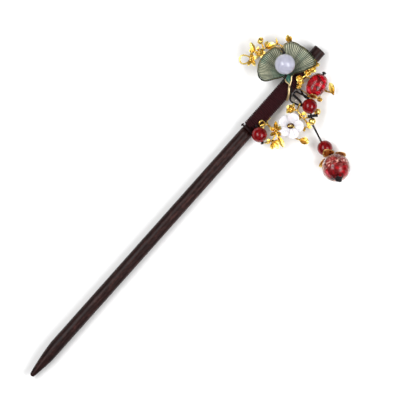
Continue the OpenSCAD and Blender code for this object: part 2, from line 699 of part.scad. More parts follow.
// Shell flower: five broad petals round a drilled middle
module shell_flower() {
    petal_len = flower_d / 2;
    color("#f3f0ee") translate(flower_at) along(flower_axis) difference() {
        union() {
            for (k = [0 : 4])
                rotate([0, 0, 28 + 72 * k]) translate([0.15 * petal_len, 0, 0]) rotate([8, 0, 0])
                    petal(0.85 * petal_len, 0.9 * petal_len, 0.1, 0.1, 1.2, 0.45, flower_t, 5, 60);
            strand([for (a = [0 : 40 : 360]) [cos(a), sin(a), 0]], flower_t);
        }
        cylinder(d = flower_bore, h = 4 * flower_t, center = true, $fn = 24);
    }
}

// Lower red bead, which lies against the binding's lower end
lower_red_y = -4.65;
lower_red_at = [2.9, lower_red_y, sqrt((binding_r + gap + red_d / 2) ^ 2 - lower_red_y ^ 2)];
lower_red_axis = unit([0.48, 0.85, 0.1]);

module lower_red_bead() {
    color("#7c0f22") drilled(lower_red_at, lower_red_axis, red_d);
}

module lower_bead_thread() {
    head = lower_red_at + (red_d / 2 + 0.2) * lower_red_axis;
    foot_knot = 0.8 * knot_d;
    foot = lower_red_at - (red_d / 2 + knot_lift(foot_knot)) * lower_red_axis;
    // The thread turns back under the bead, a cord's width clear of it
    under = red_d / 2 + cord_d / 2 + 2 * gap;
    color("#141414") {
        strand([
            on_binding(5.3, -15, cord_d), on_binding(4.7, -16, cord_d), head, foot,
            lower_red_at + under * unit([-0.3, -0.83, -0.55]),
            lower_red_at + under * unit([0.14, -0.53, -0.84]),
            on_binding(4.6, -98, cord_d), on_binding(6.4, -104, cord_d)
        ], cord_d);
        knot(foot, lower_red_axis, foot_knot);
    }
}

// Blossom: two flowers of slim petals beside the lower red bead, with small loops on the binding
module blossom() {
    flower_a = right(8.6, 5.3, 1.6);
    flower_b = right(4.6, 7, 0.8);
    stem = [
        on_binding(11.5, -124, wire_d), on_binding(9, -124, wire_d), right(8.2, 1.6, -1.6),
        right(8.4, 4, 0), flower_a
    ];
    color("#e3ac1e") {
        strand(stem, wire_d);
        strand([flower_a, right(7, 6.2, 0.8), flower_b], wire_d);
        for (row = [[46, 4.5, 1.8], [104, 3.2, 1.8], [-2, 3, 1.9], [-88, 3.1, 1.7], [176, 3.3, 1.8]])
            petal_at(
                flower_a, row[0], 16, row[1], row[2], roll = 12, rise = 0.25, arch = 0.3, belly = 1.1,
                foot = 0.55
            );
        strand([flower_a, flower_a + [-0.9, -1.8, 0.1], flower_a + [-1.3, -3, 0.3]], wire_d);
        petal_at(flower_a + [-0.7, -1.6, 0], -112, 4, 5.7, 2.2, rise = 0.05, arch = 0.3);
        petal_at(flower_a + [0.8, 1, 0.3], 20, 30, 2.4, 1.5);
        ball(flower_a + [0, 0, 0.4], 1.6);
        for (row = [[-96, 4, 2.4], [-139, 3.6, 1.9], [-54, 3.2, 1.9], [128, 2.6, 1.6]])
            petal_at(
                flower_b, row[0], 8, row[1], row[2], roll = 12, rise = 0.15, arch = 0.3, belly = 1.1,
                foot = 0.55
            );
        ball(flower_b + [0, 0, 0.4], 1.6);
        // Coil beside the bead's knot
        tube([
            for (a = [0 : 45 : 900])
                flower_b + [-1.5 - a / 900, 0.9 + 0.6 * a / 900, 0.3] + 0.7 * [-cos(a) * 0.6, cos(a), sin(a)]
        ], 0.45);
        strand([flower_b, flower_b + [-1.9, 1.6, 0.3]], 0.5);
        // Loops over the binding
        loop_stem = [right(8.3, 3.4, -0.5), right(8.4, 1.8, 1.2), on_binding(7.9, -54, 1.1)];
        wire(loop_stem, 0.8 * wire_d);
        loop_petal(on_binding(7.9, -52, 1.1), 125, 30, 2.6, 1.9, 0.8 * wire_d, -19);
        loop_petal(on_binding(7.9, -54, 1.3), 175, 7, 2.5, 1.9, 0.8 * wire_d, -54);
    }
}

shaft();
binding();
end_tie();
leaf_frame();
leaf_enamel();
white_bead();
white_bead_thread();
spray();
head_twig();
glass_bead();
glass_bead_cap();
glass_bead_thread();
side_twig();
upper_red_bead();
branch();
branch_thread();
wire_ring();
shell_flower();
lower_red_bead();
lower_bead_thread();
blossom();
drop_thread();
gold_bead();
drop_red_bead();
drop_cap();
drop_bead();
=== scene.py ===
"""Dressed model of the hair stick: each solid of the frame gets a finer piece of the same form."""
import math

import bpy
import numpy as np
from mathutils import Matrix, Vector


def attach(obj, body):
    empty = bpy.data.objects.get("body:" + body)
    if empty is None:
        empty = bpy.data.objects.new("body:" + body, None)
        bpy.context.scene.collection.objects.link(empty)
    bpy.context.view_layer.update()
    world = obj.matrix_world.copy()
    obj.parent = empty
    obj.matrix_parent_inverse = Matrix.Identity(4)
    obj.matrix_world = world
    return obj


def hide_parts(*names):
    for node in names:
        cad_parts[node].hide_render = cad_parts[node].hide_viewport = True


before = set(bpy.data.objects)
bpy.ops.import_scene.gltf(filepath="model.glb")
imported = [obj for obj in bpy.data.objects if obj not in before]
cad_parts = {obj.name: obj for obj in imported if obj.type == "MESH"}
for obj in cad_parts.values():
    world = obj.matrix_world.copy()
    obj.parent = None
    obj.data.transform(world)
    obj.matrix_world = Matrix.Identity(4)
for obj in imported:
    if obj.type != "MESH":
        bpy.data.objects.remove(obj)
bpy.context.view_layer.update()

MM = 0.001
TAU = 2 * math.pi

# Sizes of the model, in millimetres
shaft_len, shaft_d, taper_len, point_d, point_lean = 180, 5.5, 22, 2.2, 0.5
head_len, head_chamfer = 46, 0.3
thread_d, binding_start, binding_len, seat_depth, tie_groove, tie_knot_d = 0.8, 2.5, 33.2, 0.2, 0.6, 1.5
leaf_reach, leaf_t, leaf_rise, rim_d, stalk_d = 12.6, 0.8, 1.2, 0.6, 1
white_d, red_d, drop_d, gold_bead_d, bore_d = 8.4, 6.3, 11.6, 3, 1.2
glass_len, glass_w, glass_room = 10.6, 7.8, 1.6
cord_d, knot_d, drop_hang = 0.8, 1.9, 12.2
wire_d, petal_t, ring_d = 0.7, 0.4, 3.4
cap_petal, glass_petal, cap_room, cap_flare = 6.6, 4.6, 0.9, 2.8
flower_d, flower_t = 11, 0.9
gap = 0.1

# The red hearts' and the foil's shares of their beads, and the number of foil flecks
glass_core_len, glass_core_w, drop_core_len, drop_core_w, foil_r = 0.84, 0.72, 0.7, 0.64, 0.375
foil_flecks = 420

# One turn of the silk's two plies
silk_lay = 1.3

# How each cap is turned on its bead, and the side on which it opens, in degrees
glass_cap_spin, glass_cap_side = -6, 102
drop_cap_spin, drop_cap_side = 132, 214

shaft_r = shaft_d / 2
seat_r = shaft_r - seat_depth
turns = round(binding_len / thread_d)
pitch = binding_len / turns
binding_bore = seat_r + gap / 2
binding_r = binding_bore + thread_d
floor_z = -binding_r
point_x = head_len - shaft_len
taper_end = point_x + taper_len
tie_x = binding_start - tie_groove - thread_d / 2
seat_start = tie_x - tie_knot_d / 2 - gap
seat_end = binding_start + binding_len + gap


def sin(a):
    return np.sin(np.radians(a))


def cos(a):
    return np.cos(np.radians(a))


def vec(*p):
    return np.array(p, float)


def unit(v):
    v = np.asarray(v, float)
    return v / np.linalg.norm(v, axis=-1, keepdims=True)


def even_angles(n):
    return np.arange(n) * TAU / n


def bearing(p):
    """Angle of a point, or of rows of points, seen from above."""
    return np.degrees(np.arctan2(p[..., 1], p[..., 0]))


def travelled(pts):
    """The way along a line from its start to each of its points."""
    return np.concatenate([[0], np.cumsum(np.linalg.norm(np.diff(pts, axis=0), axis=1))])


def ride(d):
    return binding_r + gap + d / 2


def on_binding(x, angle, d):
    return vec(x, ride(d) * sin(angle), ride(d) * cos(angle))


def wound(d, *rows):
    """Points (x, angle) that a wire or cord of thickness d passes where it lies on the binding."""
    return [on_binding(x, angle, d) for x, angle in rows]


def left(x, out, z):
    return vec(x, binding_r + out, z)


def right(x, out, z):
    return vec(x, -binding_r - out, z)


def level_step(at, way, step, z):
    """The point that lies a step from another in plan, at a height of its own."""
    return vec(at[0] + step * way[0], at[1] + step * way[1], z)


def oval(long, wide, step, z=0):
    return np.array([[long * cos(a), wide * sin(a), z] for a in range(0, 360, step)])


def between(a, b, c, d, t):
    """A point at share t of the way from b to c, on the curve that also passes a and d."""
    return 0.5 * (2 * b + (c - a) * t + (2 * a - 5 * b + 4 * c - d) * t**2 + (3 * b - a - 3 * c + d) * t**3)


def smooth(pts, n):
    """The curve through chosen points that the frame's wires follow, n steps from each to the next."""
    pts = [np.asarray(p, float) for p in pts]
    out = []
    for i in range(len(pts) - 1):
        near = pts[max(i - 1, 0)], pts[i], pts[i + 1], pts[min(i + 2, len(pts) - 1)]
        out += [between(*near, k / n) for k in range(n)]
    return out + [pts[-1]]


def softened(pts, share=0.22):
    """Corners cut back a little three times over, the ends kept."""
    pts = [np.asarray(p, float) for p in pts]
    for _ in range(3):
        out = [pts[0]]
        for a, b in zip(pts, pts[1:]):
            out += [a + share * (b - a), b - share * (b - a)]
        pts = out + [pts[-1]]
    return pts


def spaced(pts, step, closed=False):
    """The same line, with points a fixed distance apart."""
    pts = np.array(pts, float)
    if closed:
        pts = np.vstack([pts, pts[:1]])
    length = travelled(pts)
    n = max(3, int(round(length[-1] / step)))
    at = np.linspace(0, length[-1], n + 1)
    if closed:
        at = at[:-1]
    return np.stack([np.interp(at, length, column) for column in pts.T], 1)


# Placing matrices
def shift(p):
    m = np.eye(4)
    m[:3, 3] = p
    return m


def turn_x(a):
    return np.array([[1, 0, 0, 0], [0, cos(a), -sin(a), 0], [0, sin(a), cos(a), 0], [0, 0, 0, 1]])


def turn_y(a):
    return np.array([[cos(a), 0, sin(a), 0], [0, 1, 0, 0], [-sin(a), 0, cos(a), 0], [0, 0, 0, 1]])


def turn_z(a):
    return np.array([[cos(a), -sin(a), 0, 0], [sin(a), cos(a), 0, 0], [0, 0, 1, 0], [0, 0, 0, 1]])


def along(v):
    v = unit(v)
    return turn_z(bearing(v)) @ turn_y(math.degrees(math.acos(max(-1, min(1, v[2])))))


def moved(m, pts):
    return np.asarray(pts, float) @ m[:3, :3].T + m[:3, 3]


def add_object(name, data):
    ob = bpy.data.objects.new(name, data)
    bpy.context.scene.collection.objects.link(ob)
    return ob


class Form:
    """Points, faces and the values that each point hands to its material."""

    def __init__(self):
        self.points, self.faces, self.slots, self.values = [], [], [], []
        self.count = 0

    def add(self, pts, faces, values, slot=0):
        self.points.append(pts)
        self.values.append(np.stack(values, 1).astype(float))
        self.faces += [tuple(int(i) + self.count for i in f) for f in faces]
        self.slots += [slot] * len(faces)
        self.count += len(pts)

    def skin(self, rings, values, closed=False, slot=0):
        """Rings of as many points each, joined to a tube with flat ends or closed on itself."""
        rings = np.asarray(rings, float)
        n, m = rings.shape[:2]
        i, j = np.meshgrid(np.arange(n if closed else n - 1), np.arange(m), indexing="ij")
        i2, j2 = (i + 1) % n, (j + 1) % m
        faces = np.stack([i * m + j, i2 * m + j, i2 * m + j2, i * m + j2], -1).reshape(-1, 4).tolist()
        if not closed:
            faces += [list(range(m)), [(n - 1) * m + k for k in range(m - 1, -1, -1)]]
        values = [np.broadcast_to(v, (n, m)).reshape(-1) for v in values]
        self.add(rings.reshape(-1, 3), faces, values, slot)

    def revolve(self, profile, m, sides=64, tone=1.0):
        """A profile of (radius, height) that closes on itself, as a drilled bead's does, turned about Z."""
        r, z = np.array(profile, float).T[..., None]
        a = even_angles(sides)
        rings = np.stack([r * np.cos(a), -r * np.sin(a), np.repeat(z, sides, 1)], -1)
        self.skin(moved(m, rings), [0, 0, tone], closed=True)

    def tube(self, pts, d, sides=12, closed=False, twist=0.0, relief=0.0, tone=1.0, slot=0, wobble=0.0):
        """Round wire or cord along a line. relief cuts the grooves of two plies, one turn in twist mm."""
        pts = np.array(pts, float)
        n = len(pts)
        before = np.roll(pts, 1, 0) if closed else np.vstack([pts[:1], pts[:-1]])
        after = np.roll(pts, -1, 0) if closed else np.vstack([pts[1:], pts[-1:]])
        way = unit(after - before)
        # A side direction, carried along the line without turning about it
        side = np.zeros((n, 3))
        side[0] = unit(np.cross(way[0], [0.13, 0.07, 1]))
        for i in range(1, n):
            side[i] = unit(side[i - 1] - way[i] * (side[i - 1] @ way[i]))
        up = np.cross(way, side)
        length = travelled(pts)
        total = length[-1]
        spare = 0.0
        if closed:
            # The turn left over at the end is shared out along the ring
            last = unit(side[-1] - way[0] * (side[-1] @ way[0]))
            spare = math.atan2(np.cross(last, side[0]) @ way[0], last @ side[0])
            total += np.linalg.norm(pts[0] - pts[-1])
            if twist:
                twist = total / max(1, round(total / twist))
        a = even_angles(sides)
        angle = (a + (spare * length / total)[:, None])[..., None]
        r = np.full((n, sides), d / 2)
        if relief:
            r *= 1 - relief + relief * np.abs(np.cos(a - TAU * length[:, None] / twist)) ** 0.7
        if wobble:
            r *= (1 + wobble * (np.sin(length * 2.9 + self.count) + 0.6 * np.sin(length * 7.1)))[:, None]
        if not closed:
            for k, share in ((0, 0.55), (1, 0.86)):
                r[k] *= share
                r[n - 1 - k] *= share
        out = np.cos(angle) * side[:, None] + np.sin(angle) * up[:, None]
        self.skin(pts[:, None] + r[..., None] * out, [length[:, None], a / TAU, tone], closed, slot)

    def wire(self, pts, d=wire_d):
        self.tube(smooth(pts, 6), d, 10, tone=0.75, wobble=0.03)

    def strand(self, pts, d=wire_d, tone=0.75):
        self.tube(spaced(softened(pts), 0.3), d, 10, tone=tone, wobble=0.03)

    def ball(self, at, d, tone=1.0, lumps=0.0, sides=20):
        t = np.linspace(0.001, math.pi - 0.001, sides // 2 + 1)[:, None]
        a = even_angles(sides)
        p = np.stack([np.sin(t) * np.cos(a), -np.sin(t) * np.sin(a), np.repeat(np.cos(t), sides, 1)], -1)
        waves = np.sin(6 * p[..., 0] + 1.3 * self.count) * np.cos(5 * p[..., 1]) + 0.6 * np.sin(7 * p[..., 2])
        self.skin(at + d / 2 * (1 + lumps * waves[..., None]) * p, [0, 0, tone])

    def bead_ring(self, at, count, out, up, d):
        """Small balls in a ring about a point's upright."""
        step = 360 // count
        for k in range(count):
            self.ball(at + vec(out * cos(step * k), out * sin(step * k), up), d, sides=10)

    def petal(self, m, length, width, rise=0.2, arch=0.2, belly=1.3, blunt=0.6, t=petal_t, steps=14,
              around=20, vein=0.07, curl=0.05, notch=0.0):
        """A cupped petal or small leaf along +X, as in the frame, with a vein and a rolled edge."""
        seed = 1.7 * len(self.points)
        u = np.linspace(0, 1, steps + 1)[:, None] ** 0.92
        a = even_angles(around)
        w = np.cos(a)
        side = np.abs(w)
        wide = np.maximum(0.1, np.sin(np.pi * u**belly).clip(0) ** blunt)
        half = width / 2 * wide * (1 + 0.025 * np.sin(9 * u + seed))
        inner = np.sin(np.pi * np.clip(u, 0.03, 0.97)) ** 0.5
        x = u * length - notch * length * u**6 * (1 - side) ** 1.5
        ripple = 0.3 * np.cos(TAU * (4.2 * u - 1.1 * side)) - np.exp(-((w / 0.16) ** 2))
        middle = rise * length * u**2 + arch * half * w**2 + vein * inner * ripple
        middle += curl * width * w**2 * np.sin(5.3 * u + seed) * u
        thick = t / 2 * np.sin(a) * (0.55 + 0.45 * inner)
        # Painted shade: the tone darkens the petal towards its foot and down its middle
        tone = 0.25 + 0.75 * np.clip(1.15 * u, 0, 1) * (0.82 + 0.18 * side)
        self.skin(moved(m, np.stack([x, half * w, middle + thick], -1)), [x, w, tone])

    def petal_at(self, at, heading, lift, length, width, roll=0, foot=0, **more):
        """A petal from a point, at its heading in plan and its lift above the level, in degrees."""
        m = shift(at) @ turn_z(heading) @ turn_y(-lift) @ shift([foot, 0, 0]) @ turn_x(roll)
        self.petal(m, length - foot, width, **more)

    def small_flower(self, at, v, r, spin):
        m = shift(at) @ along(v)
        for k in range(5):
            foot = turn_z(spin + 72 * k) @ shift([0.12 * r, 0, 0]) @ turn_x(10)
            self.petal(m @ foot, 0.88 * r, 0.95 * r, 0.35, 0.25, steps=9, around=16, notch=0.12)
        # A beaded middle, its centre ball darkened by its tone as painted shade
        core = 0.5 * r + petal_t
        self.ball(moved(m, [0, 0, 0]), 0.8 * core, tone=0.5)
        for k in range(6):
            bead = core * vec(0.3 * cos(60 * k + spin), 0.3 * sin(60 * k + spin), 0.26)
            self.ball(moved(m, bead), 0.34 * core, sides=10)
        self.ball(moved(m, [0, 0, 0.38 * core]), 0.36 * core, sides=10)

    def loop_petal(self, at, heading, lift, length, width, d=wire_d, roll=0):
        """A petal bent from wire."""
        m = shift(at) @ turn_z(heading) @ turn_y(-lift) @ turn_x(roll)
        ring = []
        for a in range(0, 360, 8):
            ring.append([length / 2 * (1 - cos(a)), width / 2 * sin(a) * math.sqrt(1.1 - cos(a)), 0])
        self.tube(moved(m, ring), d, 10, closed=True, tone=0.85, wobble=0.04)

    def make(self, name, materials, *nodes, at=(0, 0, 0)):
        """The finished piece, in place of the frame's nodes that it dresses."""
        mesh = bpy.data.meshes.new(name)
        mesh.from_pydata((np.vstack(self.points) * MM).tolist(), [], self.faces)
        values = np.vstack(self.values)
        for k, key in enumerate(("along", "across", "tone")):
            layer = mesh.attributes.new(key, "FLOAT", "POINT")
            layer.data.foreach_set("value", values[:, k].astype(np.float32))
        for mat in materials:
            mesh.materials.append(mat)
        mesh.polygons.foreach_set("material_index", np.array(self.slots, np.int32))
        mesh.polygons.foreach_set("use_smooth", np.ones(len(self.faces), bool))
        mesh.update()
        ob = add_object(name, mesh)
        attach(ob, "root")
        if nodes:
            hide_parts(*nodes)
        ob.location = np.asarray(at) * MM
        return ob


# Materials
class Nodes:
    """The nodes of a material, or of the world, written as sums."""

    def __init__(self, name, owners=bpy.data.materials, shader="Principled BSDF"):
        self.owner = owners.new(name)
        self.owner.use_nodes = True
        self.tree = self.owner.node_tree
        self.shader = self.tree.nodes[shader]

    def put(self, socket, value):
        if isinstance(value, bpy.types.NodeSocket):
            self.tree.links.new(value, socket)
        else:
            socket.default_value = (*value, 1) if socket.type == "RGBA" else value

    def fill(self, node, **inputs):
        """Values or links for a node's inputs, the spaces in their names written as underscores."""
        for key, value in inputs.items():
            self.put(node.inputs[key.replace("_", " ")], value)

    def new(self, kind, **inputs):
        node = self.tree.nodes.new(kind)
        self.fill(node, **inputs)
        return node

    def value(self, name):
        node = self.new("ShaderNodeAttribute")
        node.attribute_name = name
        return node.outputs["Fac"]

    def math(self, op, a, b=0.0):
        node = self.new("ShaderNodeMath")
        node.operation = op
        self.put(node.inputs[0], a)
        self.put(node.inputs[1], b)
        return node.outputs[0]

    def plus(self, a, b):
        return self.math("ADD", a, b)

    def times(self, a, b):
        return self.math("MULTIPLY", a, b)

    def blend(self, a, share_a, b, share_b):
        return self.plus(self.times(a, share_a), self.times(b, share_b))

    def noise(self, scale, detail=3, rough=0.5, warp=0.0, stretch=None):
        at = self.new("ShaderNodeTexCoord").outputs["Object"]
        if stretch:
            at = self.new("ShaderNodeMapping", Vector=at, Scale=stretch).outputs[0]
        node = self.new("ShaderNodeTexNoise", Vector=at, Scale=scale, Detail=detail, Roughness=rough,
                        Distortion=warp)
        return node.outputs["Fac"]

    def ramp(self, fac, stops):
        node = self.new("ShaderNodeValToRGB", Fac=fac)
        elements = node.color_ramp.elements
        while len(elements) < len(stops):
            elements.new(0.5)
        for element, (at, colour) in zip(elements, stops):
            element.position = at
            element.color = (*colour, 1)
        return node.outputs["Color"]

    def mix(self, fac, a, b, blend="MIX"):
        node = self.new("ShaderNodeMix")
        node.data_type = "RGBA"
        node.blend_type = blend
        self.fill(node, Factor=fac, A=a, B=b)
        return node.outputs["Result"]

    def span(self, fac, low, high, out_low=0.0, out_high=1.0):
        node = self.new("ShaderNodeMapRange", Value=fac, From_Min=low, From_Max=high)
        self.fill(node, To_Min=out_low, To_Max=out_high)
        return node.outputs["Result"]

    def follow(self, cloud, low, high):
        """A value from low to high that follows a noise, most of which lies between 0.3 and 0.7."""
        return self.span(cloud, 0.3, 0.7, low, high)

    def bump(self, height, distance, strength):
        node = self.new("ShaderNodeBump", Height=height, Distance=distance, Strength=strength)
        self.fill(self.shader, Normal=node.outputs[0])

    def finish(self, colour, rough, **inputs):
        self.fill(self.shader, Base_Color=colour, Roughness=rough, **inputs)
        return self.owner


def srgb(*colour):
    """Linear colour from the usual values of 0 to 255."""
    return tuple(c / 255 / 12.92 if c <= 10 else ((c / 255 + 0.055) / 1.055) ** 2.4 for c in colour)


def wood():
    n = Nodes("lacquered_wood")
    grain = n.noise(900, 5, stretch=(0.05, 1, 1), rough=0.6, warp=0.4)
    band = n.noise(160, stretch=(0.03, 1, 1))
    pore = n.noise(900, stretch=(0.45, 1, 1), rough=0.6)
    mottle = n.blend(band, 0.25, pore, 0.4)
    colour = n.ramp(n.plus(n.times(grain, 0.35), mottle),
                    [(0.38, srgb(18, 5, 5)), (0.5, srgb(37, 17, 15)), (0.62, srgb(66, 38, 35))])
    wear = n.noise(60, 4, rough=0.6)
    rough = n.follow(n.blend(grain, 0.5, wear, 0.5), 0.3, 0.5)
    n.bump(n.plus(grain, n.times(pore, 0.8)), 0.00008, 0.6)
    return n.finish(colour, rough, Specular_IOR_Level=0.14)


def thread(name, dark, light, sheen, rough, lay):
    """Laid thread of two plies: fine fibres wind round it, with painted shade between the plies."""
    n = Nodes(name)
    at, round_it = n.value("along"), n.value("across")
    phase = n.math("SUBTRACT", round_it, n.math("DIVIDE", at, lay))
    ply = n.math("ABSOLUTE", n.math("COSINE", n.times(phase, TAU)))
    fibre = n.math("SINE", n.times(n.plus(phase, n.times(at, 0.35)), TAU * 9))
    fuzz = n.noise(2600)
    patch = n.noise(240)
    # Painted shade between the plies, with fibre stripes and patches of uneven tone
    shade = n.plus(n.times(ply, 0.45), n.blend(n.span(fibre, -1, 1), 0.2, patch, 0.35))
    colour = n.ramp(shade, [(0.25, dark), (0.75, light)])
    # The tone darkens the colour: each binding turn's own brightness, and painted shade down the turns'
    # flanks, in the winding's core and in the knots' middles
    colour = n.mix(n.span(n.value("tone"), 0.0, 0.8, 0.1, 1.0), (0.001, 0.0005, 0.0006), colour)
    n.bump(n.plus(n.times(fibre, 0.5), fuzz), 0.00003, 0.5)
    return n.finish(colour, n.follow(fuzz, rough - 0.08, rough + 0.1),
                    Specular_IOR_Level=0.12, Sheen_Weight=sheen, Sheen_Roughness=0.4)


def gilt(name, deep, mid, bright, rough):
    n = Nodes(name)
    tone = n.value("tone")
    cloud = n.noise(420, 4, rough=0.6)
    fine = n.noise(2400, rough=0.6)
    # shade follows each piece's tone, which paints shade at petal feet, in flower middles and inside the
    # caps, and highlight on the caps' rims and tips; the noise adds uneven tone
    shade = n.blend(tone, 0.72, n.math("SUBTRACT", cloud, 0.5), 0.7)
    # The darkest stop colours the deepest painted shade
    deepest_shade = tuple(0.22 * c for c in deep)
    colour = n.ramp(shade, [(0.02, deepest_shade), (0.16, deep), (0.42, mid), (0.74, bright)])
    rib = n.math("SINE", n.times(n.value("across"), 26))
    n.bump(n.plus(n.times(rib, 0.25), n.blend(cloud, 0.9, fine, 0.35)), 0.00005, 0.5)
    return n.finish(colour, n.follow(cloud, rough - 0.07, rough + 0.12), Metallic=1.0)


def enamel():
    """Ribbed enamel: pale metal rib lines of uneven brightness, with painted highlight, over moss green, and
    teal on the leaf's foot; painted shade darkens the blade towards its foot, round the white bead, and
    between the ribs.
    """
    n = Nodes("ribbed_enamel")
    share, rib, streak = n.value("along"), n.value("across"), n.value("tone")
    cloud = n.noise(190, 4, rough=0.55, warp=0.6)
    fine = n.noise(1500)
    # Painted shade: the colour darkens towards the foot, round the white bead
    shade_to_foot_and_streak = n.blend(share, 0.7, streak, 0.12)
    moss = [(0.05, srgb(30, 58, 48)), (0.3, srgb(58, 74, 62)), (0.55, srgb(100, 109, 88)),
            (0.95, srgb(124, 128, 104))]
    base = n.ramp(n.plus(shade_to_foot_and_streak, n.times(n.math("SUBTRACT", cloud, 0.5), 0.6)), moss)
    teal = n.span(n.noise(130, 2), 0.5, 0.62)
    base = n.mix(n.times(teal, 0.6), base, srgb(56, 106, 88))
    base = n.mix(n.span(streak, 1.2, 1.5), base, srgb(44, 112, 96))
    # Rib lines: pale metal brightened with painted highlight
    line = n.times(n.span(rib, 0.35, 0.95), n.span(fine, 0.3, 0.6, 0.5, 1.0))
    line = n.times(line, n.span(streak, 0.0, 1.0, 0.3, 1.0))
    # Painted shade in the troughs between the ribs
    low = n.times(n.span(rib, 0.35, 0.0), n.span(streak, 0.8, 0.0, 0.35, 1.0))
    colour = n.mix(n.times(line, 0.95), n.mix(low, base, srgb(26, 36, 28)), srgb(236, 230, 202))
    n.bump(n.plus(fine, n.times(cloud, 0.6)), 0.00004, 0.3)
    metal = n.times(line, 0.3)
    return n.finish(colour, n.follow(fine, 0.34, 0.46), Metallic=metal, Specular_IOR_Level=0.35)


def agate():
    n = Nodes("red_agate")
    swirl = n.noise(230, 4, rough=0.55, warp=1.4)
    cell = n.noise(620)
    colour = n.ramp(n.blend(swirl, 0.75, cell, 0.25),
                    [(0.3, srgb(70, 0, 2)), (0.5, srgb(118, 0, 6)), (0.68, srgb(176, 2, 12))])
    n.bump(cell, 0.00001, 0.2)
    return n.finish(colour, n.follow(cell, 0.14, 0.22), Specular_IOR_Level=0.32,
                    Subsurface_Weight=0.2, Subsurface_Scale=0.001, Subsurface_Radius=(1.0, 0.05, 0.05))


def moonstone():
    n = Nodes("white_stone")
    cloud = n.noise(170, 4, warp=0.9)
    fine = n.noise(900)
    colour = n.ramp(cloud, [
        (0.3, srgb(164, 164, 180)), (0.55, srgb(186, 186, 202)), (0.75, srgb(216, 216, 224))])
    n.bump(fine, 0.000008, 0.2)
    return n.finish(colour, n.follow(fine, 0.08, 0.16),
                    Subsurface_Weight=0.7, Subsurface_Scale=0.003, Subsurface_Radius=(0.9, 0.9, 1.0),
                    Coat_Weight=0.3, Coat_Roughness=0.1, Sheen_Weight=0.4, Sheen_Roughness=0.3)


def clear_glass():
    n = Nodes("clear_casing")
    fine = n.noise(300, 2)
    n.bump(fine, 0.000004, 0.1)
    colour = n.ramp(fine, [(0.3, (1.0, 0.93, 0.94)), (0.7, (1.0, 0.97, 0.97))])
    return n.finish(colour, 0.22, IOR=1.38, Transmission_Weight=1.0)


def red_core(name, dark, body, light, rose, net=0.0):
    """The heart of a glass bead: crimson with rosy patches, and a net of pale veins towards its cap."""
    n = Nodes(name)
    swirl = n.noise(250, 2, rough=0.45, warp=1.2)
    vein = n.noise(480, 2, rough=0.45, warp=0.6)
    colours = [(0.36, dark), (0.46, body), (0.57, light), (0.68, rose)]
    colour = n.ramp(n.blend(swirl, 0.65, vein, 0.35), colours)
    if net:
        mesh = n.math("ABSOLUTE", n.math("SUBTRACT", n.noise(560, 2, warp=1.0), 0.5))
        line = n.times(n.span(mesh, 0.06, 0.015), n.span(n.value("tone"), 0.3, 0.55))
        colour = n.mix(n.times(line, net), colour, srgb(214, 140, 132))
    n.bump(vein, 0.0001, 0.25)
    return n.finish(colour, n.follow(vein, 0.4, 0.5), Specular_IOR_Level=0.04)


def foil():
    n = Nodes("foil_fleck")
    cloud = n.noise(900)
    colour = n.ramp(n.blend(n.value("tone"), 0.6, cloud, 0.4),
                    [(0.25, srgb(110, 40, 34)), (0.5, srgb(212, 132, 118)), (0.75, srgb(254, 222, 208))])
    return n.finish(colour, n.follow(cloud, 0.3, 0.5), Metallic=0.8)


def shell():
    n = Nodes("carved_shell")
    line = n.math("SINE", n.times(n.value("across"), 17))
    band = n.noise(260, 4, warp=1.2)
    # The colour follows the petals' tone: painted shade at their feet and down their middles
    colour = n.ramp(n.blend(n.value("tone"), 0.5, band, 0.5),
                    [(0.2, srgb(166, 158, 164)), (0.5, srgb(212, 208, 212)), (0.8, srgb(234, 233, 236))])
    pearl = n.ramp(n.noise(420, warp=2.0),
                   [(0.35, srgb(252, 242, 247)), (0.5, srgb(254, 254, 254)), (0.65, srgb(240, 246, 251))])
    colour = n.mix(0.4, colour, pearl, "MULTIPLY")
    n.bump(n.plus(n.times(line, 0.4), band), 0.00005, 0.4)
    return n.finish(colour, n.follow(band, 0.16, 0.3),
                    Subsurface_Weight=0.4, Subsurface_Scale=0.001, Subsurface_Radius=(1.0, 0.9, 0.9),
                    Coat_Weight=0.3, Coat_Roughness=0.1)


def silver():
    n = Nodes("silver_wire")
    cloud = n.noise(700, 4, rough=0.6)
    colour = n.ramp(cloud, [(0.3, srgb(168, 162, 150)), (0.6, srgb(232, 230, 222))])
    n.bump(cloud, 0.00003, 0.4)
    return n.finish(colour, n.follow(cloud, 0.25, 0.45), Metallic=1.0)


GOLD = gilt("bright_gilt", srgb(128, 76, 16), srgb(222, 168, 60), srgb(255, 234, 140), 0.25)
CAP_GOLD = gilt("cap_gilt", srgb(128, 66, 14), srgb(218, 148, 52), srgb(255, 228, 140), 0.25)
LEAF_GOLD = gilt("leaf_gilt", srgb(60, 66, 50), srgb(126, 116, 84), srgb(240, 212, 160), 0.3)
WOOD = wood()
SILK = thread("binding_silk", srgb(18, 4, 7), srgb(66, 21, 27), 0.0, 0.55, silk_lay)
TIE_SILK = thread("tie_silk", srgb(12, 4, 5), srgb(40, 18, 21), 0.02, 0.55, silk_lay)
CORD = thread("black_cord", srgb(5, 4, 5), srgb(34, 29, 31), 0.03, 0.45, 1.6)
ENAMEL = enamel()
AGATE = agate()
MOON = moonstone()
CLEAR = clear_glass()
CRIMSON = red_core("crimson_core", srgb(52, 0, 1), srgb(118, 0, 6), srgb(172, 4, 26), srgb(226, 84, 112))
ROSY = red_core("rosy_core", srgb(36, 0, 1), srgb(92, 0, 4), srgb(150, 2, 14), srgb(206, 66, 92), 0.55)
FOIL = foil()
SHELL = shell()
SILVER = silver()


# Shaft
def ogive_radius(depth):
    """Radius of the leaning point at a depth below the end of the taper."""
    reach = shaft_r + 0.3
    drop = reach - point_d / 2
    straight = taper_len - point_d / 2
    arc = (straight**2 + drop**2) / (2 * drop)
    if depth <= straight:
        return reach - arc + math.sqrt(arc**2 - depth**2)
    return math.sqrt(max(0, (point_d / 2) ** 2 - (depth - straight) ** 2))


def ring_round(x, r, a, centre=0.0):
    """A ring of points round the stick's axis."""
    return np.stack([np.full(len(a), x), centre + r * np.cos(a), r * np.sin(a)], 1)


